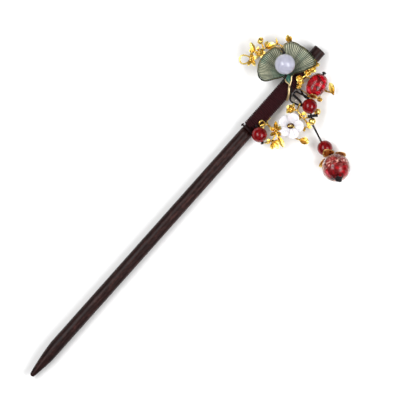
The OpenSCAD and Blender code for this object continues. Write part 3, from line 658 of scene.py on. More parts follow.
def make_shaft():
    a = even_angles(96)
    tip = [point_x + point_d / 2 * (1 - math.cos(math.pi / 2 * k / 24)) for k in range(1, 25)]
    taper = np.linspace(point_x + 1.6, taper_end, 40)
    full_round = np.linspace(taper_end + 1, seat_start - 0.01, 90)
    rings = []
    for x in [*tip, *taper, *full_round]:
        depth = taper_end - x
        centre, r = 0.0, shaft_r
        if depth > 0:
            # The leaning point, cut by the straight stick
            centre = -depth * point_lean / taper_len
            aside = centre * np.cos(a)
            to_stick = np.sqrt(np.maximum(aside**2 - (centre**2 - shaft_r**2), 0)) - aside
            r = np.minimum(ogive_radius(depth), to_stick)
        rings.append(ring_round(x, r, a, centre))
    c = head_chamfer
    head = [(seat_start, seat_r), (seat_end, seat_r), (seat_end + 0.01, shaft_r)]
    head += [(x, shaft_r) for x in np.linspace(seat_end + 0.5, head_len - c - 0.4, 10)]
    head += [
        (head_len - c - 0.1, shaft_r), (head_len - c, shaft_r - 0.02), (head_len - 0.06, shaft_r - c + 0.05),
        (head_len, shaft_r - c - 0.06), (head_len, shaft_r - c - 0.2),
        (head_len - 0.02, 1.6), (head_len - 0.03, 0.8), (head_len - 0.03, 0.1)]
    form = Form()
    form.skin(rings + [ring_round(x, r, a) for x, r in head], [0, 0, 1])
    form.make("stick", [WOOD], "shaft")


def make_binding():
    """Close turns of laid thread, its two ends tucked between the last turns."""
    r = binding_r - thread_d / 2
    step = 0.22
    # k counts the turns along the thread
    k = np.linspace(0, turns - 1, int((turns - 1) * TAU * r / step))
    slack = 0.02 * np.sin(k * 2.3) + 0.015 * np.sin(k * 5.1 + 1)
    x = binding_start + pitch / 2 + k * pitch + slack
    sides = 10
    form = Form()
    form.tube(np.stack([x, r * np.sin(k * TAU), r * np.cos(k * TAU)], 1), thread_d * 0.97, sides,
              twist=silk_lay, relief=0.16)
    # Each turn has its own brightness, and painted shade darkens it down its flanks
    out = np.hypot(form.points[-1][:, 1], form.points[-1][:, 2])
    brightness = 0.78 + 0.22 * np.random.default_rng(2).random(turns + 2)
    each = brightness[np.repeat(k.astype(int), sides)]
    form.values[-1][:, 2] = each * np.clip((out - r - 0.15) / 0.22, 0, 1) ** 1.2
    # The core of the winding, seen between the turns, its low tone painting it dark as the shade in the gaps
    first, last = binding_start + 0.1, binding_start + binding_len - 0.1
    inner, outer = binding_bore + 0.02, r - 0.06
    core = [(first, inner), (first, outer), (last, outer), (last, inner)]
    form.skin([ring_round(x, rr, even_angles(64)) for x, rr in core], [0, 0, 0.2], closed=True, slot=1)
    form.make("binding_turns", [SILK, TIE_SILK], "binding")


def make_knot(form, at, v, d):
    """An overhand knot pulled tight, flattened along v."""
    out, swing, strand = 0.30, 0.17, 0.34
    size = d / (2 * (out + swing) + strand)
    t = even_angles(96)
    r = out + swing * np.cos(3 * t)
    pts = size * np.stack([r * np.cos(2 * t), r * np.sin(2 * t), 0.16 * np.sin(3 * t)], 1)
    form.tube(moved(shift(at) @ along(v), pts), strand * size, 10, closed=True, twist=1.1, relief=0.12)
    # A ball in the knot's middle, its low tone a painted shade
    form.ball(at, 0.62 * d, tone=0.4)


def cord_line(form, pts, d=cord_d):
    form.tube(spaced(softened(pts, 0.2), 0.16), d * 0.98, 12, twist=1.5, relief=0.12)


def make_end_tie():
    r = binding_r - thread_d / 2
    t = even_angles(160)
    form = Form()
    form.tube(np.stack([np.full(len(t), tie_x), r * np.sin(t), r * np.cos(t)], 1), thread_d,
              closed=True, twist=silk_lay, relief=0.16)
    make_knot(form, vec(tie_x, binding_r, 0), vec(0.2, 1, 0.1), tie_knot_d)
    form.make("end_tie_turn", [TIE_SILK], "end_tie")


# Leaf
leaf_foot = vec(29, binding_r + 0.3)
leaf_z = ride(stalk_d) + 0.5
# Bearing from the foot, and the outline's share of leaf_reach there
leaf_outline = [
    (-120, 0.37), (-112, 0.31), (-101, 0.26), (-84, 0.2), (-66, 0.18), (-45, 0.26), (-37, 0.62),
    (-31, 0.97), (-22, 1.03), (-10, 1.02), (2, 1.02), (15, 1.02), (25, 1.05), (35, 1.06), (43, 0.99),
    (47, 0.93), (49, 0.72), (54, 0.73), (58, 0.84), (63, 0.91), (70, 0.95),
    (84, 0.94), (98, 0.96), (112, 0.96), (126, 0.94), (138, 0.9), (146, 0.82), (151, 0.68), (154, 0.4),
    (165, 0.15), (190, 0.14), (207, 0.18), (221, 0.26), (232, 0.31), (240, 0.37),
]
leaf_rib, leaf_fold = 4.0, 14.5


def outline_share(a):
    return float(np.interp(a, *zip(*leaf_outline)))


def leaf_height(a, share):
    return leaf_z + leaf_rise * share**2 * (1 + 0.35 * cos(3 * (a - 100)))


def leaf_point(a, share):
    r = leaf_reach * outline_share(a) * share
    return vec(leaf_foot[0] + r * cos(a), leaf_foot[1] + r * sin(a), leaf_height(a, r / leaf_reach))


def outline_points(per_step):
    """The outline's plan about the leaf's foot, smoothed between the table's rows."""
    angles = []
    for (a, _), (b, _) in zip(leaf_outline, leaf_outline[1:]):
        angles += [a, (a + b) / 2] if b - a > 6 else [a]
    plan = [leaf_reach * outline_share(a) * vec(cos(a), sin(a)) for a in angles]
    out = []
    for i in range(len(plan)):
        near = [plan[(i + k) % len(plan)] for k in (-1, 0, 1, 2)]
        steps = max(1, math.ceil(np.linalg.norm(near[2] - near[1]) / per_step))
        out += [between(*near, k / steps) for k in range(steps)]
    return np.array(out)


def drawn_in(plan, d):
    before = unit(plan - np.roll(plan, 1, 0))
    after = unit(np.roll(plan, -1, 0) - plan)
    n1 = np.stack([-before[:, 1], before[:, 0]], 1)
    n2 = np.stack([-after[:, 1], after[:, 0]], 1)
    return plan + d * (n1 + n2) / (1 + (n1 * n2).sum(1))[:, None]


def make_blade(plan):
    """The enamel blade, laid out as a fan of close rays from the foot."""
    ray_step = 0.08
    edge = spaced(drawn_in(plan, rim_d / 2 + gap * 0.35), ray_step, closed=True)
    ang = bearing(edge)
    far = np.linalg.norm(edge, axis=1)
    fan = ang + 2.2 * sin(3 * ang)
    # Uneven ribs, and the foot's tail apart from them
    brightness = np.random.default_rng(5).random(200)
    per_rib = brightness[np.floor((fan + 180) / leaf_rib).astype(int) % 200]
    streak = np.clip(0.17 + 0.5 * per_rib + 0.25 * sin(17 * fan + 40) + 0.3 * (ang > 60), 0, 1)
    tail = (ang > -162) & (ang < -76)
    off = np.abs(ang + 120)
    # Each row is a share of the way out, its share of the thickness, and whether the ribs lift it
    rows = [(s, 1, 1) for s in [0.03, *np.linspace(0.1, 0.97, 26)]] + [(0.985, 0.8, 1), (1, 0.45, 0)]
    top, low, values = [], [], []
    for s, thick, ribbed in rows:
        share = far * s / leaf_reach
        inner = np.clip(share / 0.35, 0, 1) * np.clip((far - far * s) / 0.5, 0.15, 1)
        wave = 0.5 + 0.5 * np.cos(np.radians(fan * 360 / leaf_rib) + 0.6 * np.sin(share * 9))
        wave = np.where(tail, np.exp(-((off * share / 1.4) ** 2)), wave)
        fold = 0.5 + 0.5 * np.cos(np.radians(fan * 360 / leaf_fold) + 1.1)
        lift = ribbed * (inner * ((0.12 + 0.1 * streak) * wave**2 + 0.1 * fold) - 0.12)
        middle, half = leaf_height(ang, share), thick * leaf_t / 2
        top.append(np.column_stack([leaf_foot + edge * s, middle + half + lift]))
        low.append(np.column_stack([leaf_foot + edge * s, middle - half - 0.4 * lift]))
        values.append([share, wave**2 * inner, np.where(tail, 1.7, streak)])
    form = Form()
    # Top from the foot to the edge, then back below
    form.skin(top + low[::-1], np.swapaxes(values + values[::-1], 0, 1))
    form.make("leaf_blade", [ENAMEL], "leaf_enamel")


def make_rim(plan):
    a = bearing(plan)
    z = leaf_height(a, np.linalg.norm(plan, axis=1) / leaf_reach) + 0.03 * np.sin(0.35 * a)
    pts = spaced(np.column_stack([leaf_foot + plan, z]), 0.28, closed=True)
    ang = bearing(pts[:, :2] - leaf_foot)
    tone = np.where((ang < -66) & (ang > -170), 0.95, 0.42 + 0.2 * sin(2.3 * ang - 30))
    form = Form()
    form.tube(pts, rim_d * 0.97, closed=True, tone=tone[:, None], wobble=0.03)
    tip = leaf_point(-120, 1)
    round_stick = wound(stalk_d + gap, (tip[0] - 1, -12), (tip[0] - 3.2, -38), (tip[0] - 5.6, -66))
    form.tube(smooth([tip] + round_stick, 14), stalk_d, 14, wobble=0.02)
    form.make("leaf_rim", [LEAF_GOLD], "leaf_frame")


# Places of the beads and the shell flower
white_z = leaf_z + 0.15 * leaf_rise + leaf_t / 2 + gap + white_d / 2
white_at = vec(leaf_foot[0] + 2.4, leaf_foot[1] + 3.1, white_z)
white_axis = vec(0.69, 0.72, 0)

glass_z = 2
glass_out = binding_r + glass_room + glass_w / 2
glass_at = vec(33.8, -math.sqrt(glass_out**2 - glass_z**2), glass_z)
glass_axis = unit([0.985, 0.17, 0])

red_step = glass_len / 2 + red_d / 2 + 0.6
red_at = glass_at + vec(-0.92 * red_step, -0.393 * red_step, 2.2)
red_axis = unit([-0.6, -0.755, -0.25])
knot_step = red_d / 2 + 1.2
gold_at = red_at + (knot_step + 0.6 + gap + gold_bead_d / 2) * red_axis

hang_dir = unit([-0.38, -0.925, 0])
drop_dir = unit([-0.33, -0.944, 0])
drop_lift = 46
drop_axis = vec(-0.592 * cos(drop_lift), -0.806 * cos(drop_lift), sin(drop_lift))
drop_red_at = level_step(gold_at, hang_dir, drop_hang, floor_z + red_d / 2)
drop_z = floor_z + drop_d / 2 + petal_t + 2 * gap
drop_step = math.sqrt((red_d / 2 + cap_room + drop_d / 2) ** 2 - (drop_z - drop_red_at[2]) ** 2)
drop_at = level_step(drop_red_at, drop_dir, drop_step, drop_z)

lower_red_y = -4.65
lower_red_at = vec(2.9, lower_red_y, math.sqrt((binding_r + gap + red_d / 2) ** 2 - lower_red_y**2))
lower_red_axis = unit([0.48, 0.85, 0.1])

flower_at = right(14.3, 8.5, 2.2)
flower_axis = unit([-0.12, 0.1, 1])


# Beads
def bead_profile(length, width, bore, rows):
    """Closed profile of a drilled bead with softened lips. A long bead keeps the frame's round ends."""
    lip = 0.14
    end_z = (length - width) / 2
    r0 = bore / 2
    z_lip = end_z + math.sqrt((width / 2) ** 2 - (r0 + lip) ** 2)
    z = z_lip * np.sin(math.pi * (np.arange(rows + 1) / rows - 0.5))
    r = np.sqrt((width / 2) ** 2 - np.maximum(np.abs(z) - end_z, 0) ** 2)
    half = [(r0 + lip * 0.35, z_lip + 0.03), (r0, z_lip - 0.1)]
    return [*zip(r, z), *half, (r0, 0), *((out, -up) for out, up in half[::-1])]


def make_bead(name, node, mat, at, axis, length, width, bore=bore_d, rows=40, sides=64, tone=1.0):
    form = Form()
    form.revolve(bead_profile(length, width, bore, rows), along(axis), sides, tone)
    return form.make(name, [mat], node, at=at)


def make_core(name, mat, at, axis, length, width, waves, ramp=False):
    """The coloured heart inside a glass bead, drilled like the bead."""
    rows, sides, end = 44, 64, 0.07
    a = even_angles(sides)
    share = np.arange(rows + 1)[:, None] / rows
    t = math.pi * (end + (1 - 2 * end) * share)
    lumps = np.sin(3 * a + 2.5 * np.sin(3 * t)) + 0.6 * np.sin(5 * a - 7 * t)
    r = np.sin(t) * width / 2 * (1 + waves * lumps)
    z = -np.cos(t) * length / 2
    tone = (1 - share) * ramp
    # The bore, from the last ring back to the first
    r = np.vstack([r, np.full((2, sides), bore_d / 2 + 0.08)])
    z = np.vstack([z, z[-1:], z[:1]])
    tone = np.vstack([tone, tone[-1:], tone[:1]])
    rings = np.stack([r * np.cos(a), -r * np.sin(a), np.repeat(z, sides, 1)], -1)
    form = Form()
    form.skin(moved(along(axis), rings), [0, 0, tone], closed=True)
    form.make(name, [mat], at=at)


def make_foil(name, at, axis, radius, count):
    """Torn flecks of foil that lie just below the glass, over the half next to the cap."""
    rng = np.random.default_rng(3)
    form = Form()
    m = along(axis)
    for _ in range(count):
        z = -0.98 + 1.3 * rng.random() ** 1.1
        a = rng.random() * TAU
        out = math.sqrt(max(0, 1 - z * z))
        if out * radius < bore_d / 2 + 0.5:
            continue
        p = vec(out * math.cos(a), out * math.sin(a), z)
        e = unit(np.cross(p, [0.3, 0.2, 1]))
        f = np.cross(p, e)
        size = 0.14 + 0.42 * rng.random() ** 2.2
        corners = int(rng.integers(5, 8))
        depth = radius * (1 - 0.1 * rng.random())
        ring = []
        for b in even_angles(corners):
            s = size * (0.55 + 0.6 * rng.random())
            ring.append(p * depth + s * (math.cos(b) * e + 0.6 * math.sin(b) * f))
        faces = [moved(m, np.array(ring) + off * p) for off in (-0.03, 0.03)]
        form.skin(faces, [0, 0, rng.random()])
    form.make(name, [FOIL], at=at)


def make_beads():
    make_bead("white_bead_stone", "white_bead", MOON, white_at, white_axis, white_d, white_d)
    make_bead("upper_red_stone", "upper_red_bead", AGATE, red_at, red_axis, red_d, red_d)
    make_bead("lower_red_stone", "lower_red_bead", AGATE, lower_red_at, lower_red_axis, red_d, red_d)
    make_bead("drop_red_stone", "drop_red_bead", AGATE, drop_red_at, drop_dir, red_d, red_d)
    glass = glass_at, glass_axis
    casing = make_bead("glass_bead_casing", "glass_bead", CLEAR, *glass, glass_len, glass_w, rows=60)
    casing.visible_shadow = False
    make_core("glass_bead_core", CRIMSON, *glass, glass_core_len * glass_len, glass_core_w * glass_w, 0.08)
    drop = drop_at, drop_axis
    casing = make_bead("drop_bead_casing", "drop_bead", CLEAR, *drop, drop_d, drop_d, sides=80)
    casing.visible_shadow = False
    make_core("drop_bead_core", ROSY, *drop, drop_core_len * drop_d, drop_core_w * drop_d, 0.05, ramp=True)
    make_foil("drop_bead_foil", *drop, foil_r * drop_d, foil_flecks)
    make_bead("gold_bead_ball", "gold_bead", GOLD, gold_at, red_axis, gold_bead_d, gold_bead_d,
              cord_d + 2 * gap, rows=24, sides=40, tone=0.9)


# Caps
def bead_cap(form, at, axis, long, wide, petal_len, spin, toward):
    """Petals that hug a bead from its pole -Z and flare on one side, with a collar at their feet."""
    m = shift(at) @ along(axis)
    end_z = (long - wide) / 2

    def petal_out(tilt):
        bead_out = end_z * cos(tilt) + np.sqrt((wide / 2) ** 2 - (end_z * sin(tilt)) ** 2)
        return bead_out + 1.5 * gap + petal_t / 2

    collar = bore_d + wire_d
    foot = math.degrees(math.asin(collar / 2 / petal_out(0)))
    reach = math.degrees(petal_len / petal_out(0))
    a = even_angles(20)
    c = np.cos(a)
    u = np.linspace(0, 1, 17)[:, None]
    tilt = foot + u * (reach - foot)
    inner = np.sin(math.pi * np.clip(u, 0.03, 0.97)) ** 0.5
    broad = np.maximum(0.1, np.sin(math.pi * (0.06 + 0.94 * u) ** 1.3).clip(0) ** 0.6)
    groove = inner * (0.03 * np.cos(TAU * (4 * u - 1.2 * np.abs(c))) - 0.06 * np.exp(-((c / 0.16) ** 2)))
    thick = petal_t / 2 * np.sin(a) * (0.5 + 0.5 * inner)
    # Painted highlight on the rims and tips, painted shade on the insides
    tone = np.where((np.abs(c) > 0.8) | (u > 0.92), 1.0, 0.26 + 0.4 * u)
    for k in range(5):
        turn = spin + 72 * k
        lift = cap_flare * ((1 + cos(turn - toward)) / 2) ** 2
        out = petal_out(tilt) + lift * u**3
        half = np.minimum(0.42 * petal_len * broad, 0.66 * out * sin(tilt))
        way = unit(np.stack(np.broadcast_arrays(out * sin(tilt), -half * c, -out * cos(tilt)), -1))
        far = out + (1 if lift > 0.2 else 0.4) * groove + thick
        form.skin(moved(m @ turn_z(turn), far[..., None] * way), [u * petal_len, c, tone])
    ring = oval(collar / 2, collar / 2, 12, -petal_out(0))
    form.tube(moved(m, ring), 0.8 * wire_d, 10, closed=True, tone=0.8)


def make_caps():
    form = Form()
    bead_cap(form, glass_at, glass_axis, glass_len, glass_w, glass_petal, glass_cap_spin, glass_cap_side)
    form.make("glass_bead_petals", [CAP_GOLD], "glass_bead_cap")
    form = Form()
    bead_cap(form, drop_at, drop_axis, drop_d, drop_d, cap_petal, drop_cap_spin, drop_cap_side)
    form.make("drop_petals", [CAP_GOLD], "drop_cap")


# Threads
def knot_lift(d):
    return gap + 0.3 * d


def make_white_cord():
    form = Form()
    knots = 0.85 * knot_d
    top = white_at + (white_d / 2 + knot_lift(knots)) * white_axis
    low = white_at - (white_d / 2 + knot_lift(knots)) * white_axis
    notch = leaf_point(51, 1)
    cord_line(form, [
        notch + [-0.6, -0.6, -1.4], notch + [0.5, 1.15, -1.2], notch + [0.55, 1.2, 0.9],
        top + [0.4, 0.4, -0.8], top, low, low + [-0.6, -0.3, -0.6],
        vec(low[0] - 2.3, low[1] - 0.5, leaf_z + 0.6),
        *wound(cord_d, (low[0] - 2.5, 42), (low[0] - 3.6, 50))])
    make_knot(form, top, white_axis, knots)
    make_knot(form, low, white_axis, knots)
    form.make("white_bead_cord", [CORD], "white_bead_thread")


def make_glass_cord():
    form = Form()
    foot = glass_at - (glass_len / 2 + petal_t + cord_d / 2 + 3 * gap) * glass_axis
    head = glass_at + (glass_len / 2 + knot_lift(knot_d)) * glass_axis
    cord_line(form, wound(cord_d, (27, -116), (28.6, -116)) + [foot + [-0.5, 1.4, -2], foot, head])
    make_knot(form, head, glass_axis, knot_d)
    make_knot(form, foot, glass_axis, 0.6 * knot_d)
    form.make("glass_bead_cord", [CORD], "glass_bead_thread")


def make_branch_cord():
    form = Form()
    tie = right(23.5, 6.2, 1.6)
    round_stick = wound(cord_d, (26.4, -26), (25.4, -39), (24.3, -52))
    cord_line(form, round_stick + [right(21.7, 1.3, 1.1), right(22.6, 4.6, 1.4), tie])
    back = [tie, right(24.5, 4.7, 1.5), right(24.5, 2.2, 1.3), on_binding(24.7, -76, cord_d)]
    cord_line(form, back, 1.3 * cord_d)
    make_knot(form, tie, vec(1, 0.4, 0.3), 1.5)
    form.make("branch_cord", [CORD], "branch_thread")


def make_lower_cord():
    form = Form()
    foot_knot = 0.8 * knot_d
    head = lower_red_at + (red_d / 2 + 0.2) * lower_red_axis
    foot = lower_red_at - (red_d / 2 + knot_lift(foot_knot)) * lower_red_axis
    under = red_d / 2 + cord_d / 2 + 2 * gap
    cord_line(form, [
        *wound(cord_d, (5.3, -15), (4.7, -16)), head, foot,
        lower_red_at + under * unit([-0.3, -0.83, -0.55]), lower_red_at + under * unit([0.14, -0.53, -0.84]),
        *wound(cord_d, (4.6, -98), (6.4, -104))])
    make_knot(form, foot, lower_red_axis, foot_knot)
    form.make("lower_bead_cord", [CORD], "lower_bead_thread")


def make_drop_cord():
    form = Form()
    pole = drop_at - (drop_d / 2 + petal_t + wire_d / 2 + cord_d / 2 + 2 * gap) * drop_axis
    end_knot = 1.8 * knot_d
    end = drop_at + (drop_d / 2 + knot_lift(end_knot)) * drop_axis
    cord_line(form, [
        *wound(cord_d, (25, -94), (26.5, -94)), right(26.7, 2.2, 0.8),
        red_at - (red_d / 2 + 0.8) * red_axis, red_at + (red_d / 2) * red_axis,
        gold_at + (gold_bead_d / 2 + 0.15) * red_axis,
        gold_at + (gold_bead_d / 2 + 1.2) * unit(red_axis + hang_dir),
        drop_red_at - (red_d / 2 + 1) * drop_dir,
        drop_red_at + (red_d / 2 + gap) * drop_dir - vec(0, 0, gap / 2), pole, end])
    # The double knot below the upper bead
    knot_at = red_at + knot_step * red_axis
    across = unit(np.cross(red_axis, [0, 0, 1]))
    coil_d, coil_ends = 1.3, (-2.2, 1)
    form.tube(spaced([knot_at + out * across for out in coil_ends], 0.14), coil_d, 14, twist=1.4, relief=0.2)
    for out in coil_ends:
        make_knot(form, knot_at + out * across, across, 0.9 * knot_d)
    make_knot(form, end, drop_axis, end_knot)
    form.make("drop_cord", [CORD], "drop_thread")


# Gilt castings
def make_spray():
    f = Form()
    fork = left(28.4, 14.2, 1.6)
    f.strand(wound(wire_d, (33, 128), (30.5, 128)) + [left(29, 2.4, -1.8), left(28.6, 8, 0.4), fork])
    f.wire([
        fork, left(31, 14, 2.2), left(33.7, 13, 2.4), left(36, 10.9, 2.6),
        left(36.8, 7.8, 2.8), left(38.5, 7.3, 3.2), left(39.8, 8.1, 4.2)])
    star = left(24.2, 15.2, 2.4)
    f.strand([fork, left(26.3, 13.4, 2.2), star])
    f.strand([left(27.6, 14.4, 1.6), left(27.1, 15.9, 2.2)])
    f.strand([left(30.2, 14.2, 2), left(31.2, 15.2, 2.6), left(31.8, 16.6, 2.8)])
    arc = [left(33.4, 11.6, 2.7), left(34.6, 11.1, 3.2), left(35.4, 9.4, 3.3), left(36.6, 8.3, 2.8)]
    f.tube(smooth(arc, 8), 1.1 * wire_d, slot=1, wobble=0.02)
    for heading, length in ((-112, 3.6), (-168, 3.5), (-30, 2.2), (42, 2.9)):
        f.petal_at(star, heading, 12, length, 1.7, rise=0.15, belly=0.8, foot=0.4)
    f.loop_petal(star, 137, 8, 5, 3.2)
    # The star's middle ball, its lower tone a painted shade
    f.ball(star, 1.9, tone=0.6)
    f.bead_ring(star, 7, 0.62, 0.62, 0.55)
    f.ball(star + [0, 0, 0.85], 0.6, sides=12)
    f.petal_at(left(27.1, 15.7, 2.2), 68, 10, 4.9, 2, rise=0.1, arch=0.5, belly=1.2)
    f.petal_at(left(27.1, 15.9, 2), 110, 15, 2.9, 1.7, rise=0.2)
    for heading, length in ((5, 2.5), (68, 2.9), (131, 2.7), (187, 2.6), (246, 2.5), (308, 2.7)):
        f.petal_at(left(28.4, 14.4, 1.9), heading, 30, length, 1.5, roll=18, rise=-0.1, foot=0.7)
    middle = left(28.4, 14.4, 2.4)
    # The flower's middle ball, its lower tone a painted shade
    f.ball(middle, 2.0, tone=0.55)
    f.bead_ring(middle, 8, 0.72, 0.55, 0.6)
    f.ball(middle + [0, 0, 0.9], 0.7, sides=12)
    # Round bud in its two sepals
    f.ball(left(31.9, 17.3, 2.8), 2.4, tone=0.9, lumps=0.03, sides=24)
    f.petal_at(left(31.8, 16.2, 2.8), 60, 20, 2.9, 2.1, rise=0.1, arch=-0.4)
    f.petal_at(left(31.2, 13.9, 2.4), -32, 8, 4.8, 3, roll=-25, rise=0.15, arch=0.35)
    f.petal_at(left(31.4, 13.8, 2.5), 28, 8, 3, 2, rise=0.2, arch=0.3)
    f.petal_at(left(35.7, 11.3, 2.8), 52, 10, 2.9, 0.9, rise=0.1, belly=0.5)
    f.petal_at(left(39.6, 7.9, 4.2), 56, 14, 3.5, 2.4, roll=-20, rise=0.1, arch=0.4, belly=0.8)
    f.petal_at(left(39.7, 8, 4.1), 30, 6, 2.6, 1.5, rise=0.2, belly=0.8)
    f.make("spray_casting", [GOLD, LEAF_GOLD], "spray")


def make_head_twig():
    f = Form()
    f.wire(wound(wire_d, (30.6, -50), (31.8, -36), (33.4, -38), (35.2, -46), (37.4, -58), (39.3, -46)))
    f.small_flower(on_binding(31.3, -18, 1.6), [-0.2, -0.35, 1], 1.5, 20)
    f.small_flower(on_binding(30.6, -38, 1.6), [-0.3, -0.6, 0.9], 1.6, 50)
    f.small_flower(on_binding(28.8, -53, 1.6), [-0.4, -0.8, 0.8], 1.3, 5)
    f.small_flower(on_binding(35.3, -32, 1.9), [0, -0.4, 1], 1.6, 10)
    f.small_flower(on_binding(37.6, -38, 2), [0.2, -0.3, 1], 1.8, 40)
    f.petal_at(on_binding(39.1, -44, 0.9), 38, 10, 3, 2, rise=0.1, arch=0.4)
    f.petal_at(on_binding(39.1, -44, 0.9), -25, 4, 2.4, 1.6, rise=0.2)
    f.strand([on_binding(31.5, -28, wire_d), on_binding(31.3, -20, 1.4)])
    f.strand([on_binding(30.6, -50, wire_d), on_binding(28.8, -54, 1.4)])
    f.strand([on_binding(35.2, -46, wire_d), on_binding(35.3, -38, 1.8)])
    f.make("head_twig_casting", [GOLD], "head_twig")


def make_side_twig():
    f = Form()
    low_z = floor_z + wire_d / 2 + 0.15
    f.wire([
        *wound(wire_d, (30.5, -132), (33, -132)), right(34.4, 1.2, low_z), right(34.6, 5, low_z),
        right(34.6, 8.8, low_z + 0.2), right(35.4, 11.2, low_z + 1.6), right(36.2, 12, low_z + 3.2)])
    f.wire([
        right(34.6, 6.8, low_z), right(32.6, 8.6, low_z + 0.1), right(30.9, 9.6, low_z + 1.4),
        right(30.3, 9.8, low_z + 2.6)])
    f.petal_at(right(35.6, 13.3, -0.4), 64, 22, 6, 2.9, roll=30, rise=0.05, arch=0.3)
    f.petal_at(right(29.4, 9.6, -0.6), -35, 25, 2.6, 1.8, rise=0.1, arch=0.3)
    f.petal_at(right(30.3, 9.2, -0.6), -100, 30, 2.2, 1.5, rise=0.2)
    f.ball(right(30.3, 9.7, -0.6), 1.5, lumps=0.04)
    f.make("side_twig_casting", [GOLD], "side_twig")


def make_branch():
    f = Form()
    low = flower_at - (flower_t / 2 + 0.75) * flower_axis
    high = flower_at + (flower_t / 2 + 0.5 + gap) * flower_axis
    f.wire([
        right(23.8, 5.2, 3.1), right(22.4, 5.6, 2.6), right(20.9, 6.4, 1.6), right(20.3, 9, 0.8),
        right(19.9, 12, 0.4), right(18.6, 13.8, 0.3), right(16.6, 12, 0.4), low])
    f.wire([low, low + [0, 0, 0.3], flower_at, high - [0, 0, 0.1]])
    f.strand([
        low, right(12.4, 10.6, 0.5), right(11.6, 12.4, 0.8), right(12.2, 14.6, 1),
        right(12.9, 15.6, 1)], 0.85 * wire_d)
    f.petal_at(right(12.6, 14.8, 0.8), -72, 10, 4.2, 3.2, roll=-15, rise=0.1, arch=0.3, belly=1.2)
    f.petal_at(right(12.9, 15.4, 1.2), -40, 20, 3, 1.7, rise=0.1, arch=0.3)
    # The shell flower's middle, an oval of wire with a bar across; the oval's low tone paints it in shade
    m = shift(high) @ along(flower_axis)
    f.tube(moved(m, oval(1.15, 0.85, 12)), 0.6, 10, closed=True, tone=0.06)
    f.strand(moved(m, [[-1.15, 0, 0], [1.15, 0, 0]]), 0.6, tone=0.9)
    f.ball(high + [0.5, -1.3, 0.1], 0.8)
    f.small_flower(right(19.5, 3.9, 1.8), [-0.2, 0.2, 1], 2, 30)
    f.petal_at(right(19.6, 3.8, 1.6), 175, 10, 2.7, 1.5, rise=0.2)
    f.petal_at(right(20, 4.1, 1.9), 20, 10, 2.4, 1.4, rise=0.3)
    f.strand([right(19.6, 4, 1.4), right(20.8, 6.2, 1.6)])
    f.loop_petal(right(20.4, 8.4, 1.2), -60, 10, 2.4, 1.7, 0.8 * wire_d)
    f.petal_at(right(20.2, 8.2, 1), -140, 15, 2.4, 1.5)
    f.petal_at(right(20.4, 8.6, 1), -20, 5, 2.2, 1.4)
    f.petal_at(right(19.8, 12.2, 0.6), -95, 8, 2.6, 1.3, belly=0.8)
    f.petal_at(right(18.6, 13.8, 0.5), -60, 5, 1.9, 1.2, belly=0.8)
    f.petal_at(right(17.6, 13, 0.5), -140, 5, 2, 1.2, belly=0.8)
    f.strand([right(20.2, 10, 0.6), right(22.2, 12.2, -0.9), right(25.2, 12.9, -0.8), right(26, 12.8, 0.2)])
    f.ball(right(26, 12.8, 0.6), 2.7, lumps=0.03, tone=0.9, sides=26)
    f.make("branch_casting", [GOLD], "branch")


def make_blossom():
    f = Form()
    flower_a, flower_b = right(8.6, 5.3, 1.6), right(4.6, 7, 0.8)
    f.strand(wound(wire_d, (11.5, -124), (9, -124)) + [right(8.2, 1.6, -1.6), right(8.4, 4, 0), flower_a])
    f.strand([flower_a, right(7, 6.2, 0.8), flower_b])
    petals_a = ((46, 4.5, 1.8), (104, 3.2, 1.8), (-2, 3, 1.9), (-88, 3.1, 1.7), (176, 3.3, 1.8))
    for heading, length, width in petals_a:
        f.petal_at(flower_a, heading, 16, length, width, roll=12, rise=0.25, arch=0.3, belly=1.1, foot=0.55)
    f.strand([flower_a, flower_a + [-0.9, -1.8, 0.1], flower_a + [-1.3, -3, 0.3]])
    f.petal_at(flower_a + [-0.7, -1.6, 0], -112, 4, 5.7, 2.2, rise=0.05, arch=0.3)
    f.petal_at(flower_a + [0.8, 1, 0.3], 20, 30, 2.4, 1.5)
    # The middle ball, its low tone a painted shade
    f.ball(flower_a + [0, 0, 0.4], 1.5, tone=0.3)
    f.bead_ring(flower_a, 7, 0.6, 0.95, 0.5)
    for heading, length, width in ((-96, 4, 2.4), (-139, 3.6, 1.9), (-54, 3.2, 1.9), (128, 2.6, 1.6)):
        f.petal_at(flower_b, heading, 8, length, width, roll=12, rise=0.15, arch=0.3, belly=1.1, foot=0.55)
    # The middle ball, its low tone a painted shade
    f.ball(flower_b + [0, 0, 0.4], 1.5, tone=0.3)
    f.bead_ring(flower_b, 6, 0.55, 0.95, 0.5)
    # A spring of two and a half turns
    spring = []
    for a in range(0, 901, 12):
        middle = flower_b + [-1.5 - a / 900, 0.9 + 0.6 * a / 900, 0.3]
        spring.append(middle + 0.7 * vec(-0.6 * cos(a), cos(a), sin(a)))
    f.tube(spring, 0.45, 10, tone=0.9)
    f.strand([flower_b, flower_b + [-1.9, 1.6, 0.3]], 0.5)
    f.wire([right(8.3, 3.4, -0.5), right(8.4, 1.8, 1.2), on_binding(7.9, -54, 1.1)], 0.8 * wire_d)
    f.loop_petal(on_binding(7.9, -52, 1.1), 125, 30, 2.6, 1.9, 0.8 * wire_d, -19)
    f.loop_petal(on_binding(7.9, -54, 1.3), 175, 7, 2.5, 1.9, 0.8 * wire_d, -54)
    f.make("blossom_casting", [GOLD], "blossom")


def make_shell_flower():
    f = Form()
    m = shift(flower_at) @ along(flower_axis)
    r = flower_d / 2
    for k in range(5):
        foot = turn_z(28 + 72 * k) @ shift([0.15 * r, 0, 0]) @ turn_x(8)
        f.petal(m @ foot, 0.85 * r, 0.9 * r, 0.1, 0.1, 1.2, 0.45, flower_t, steps=26, around=36,
                vein=0.12, curl=0.03, notch=0.1)
    # The ring in the middle, its lower tone a painted shade
    f.tube(moved(m, oval(1, 1, 10)), flower_t * 0.9, closed=True, tone=0.5)
    f.make("shell_petals", [SHELL], "shell_flower")


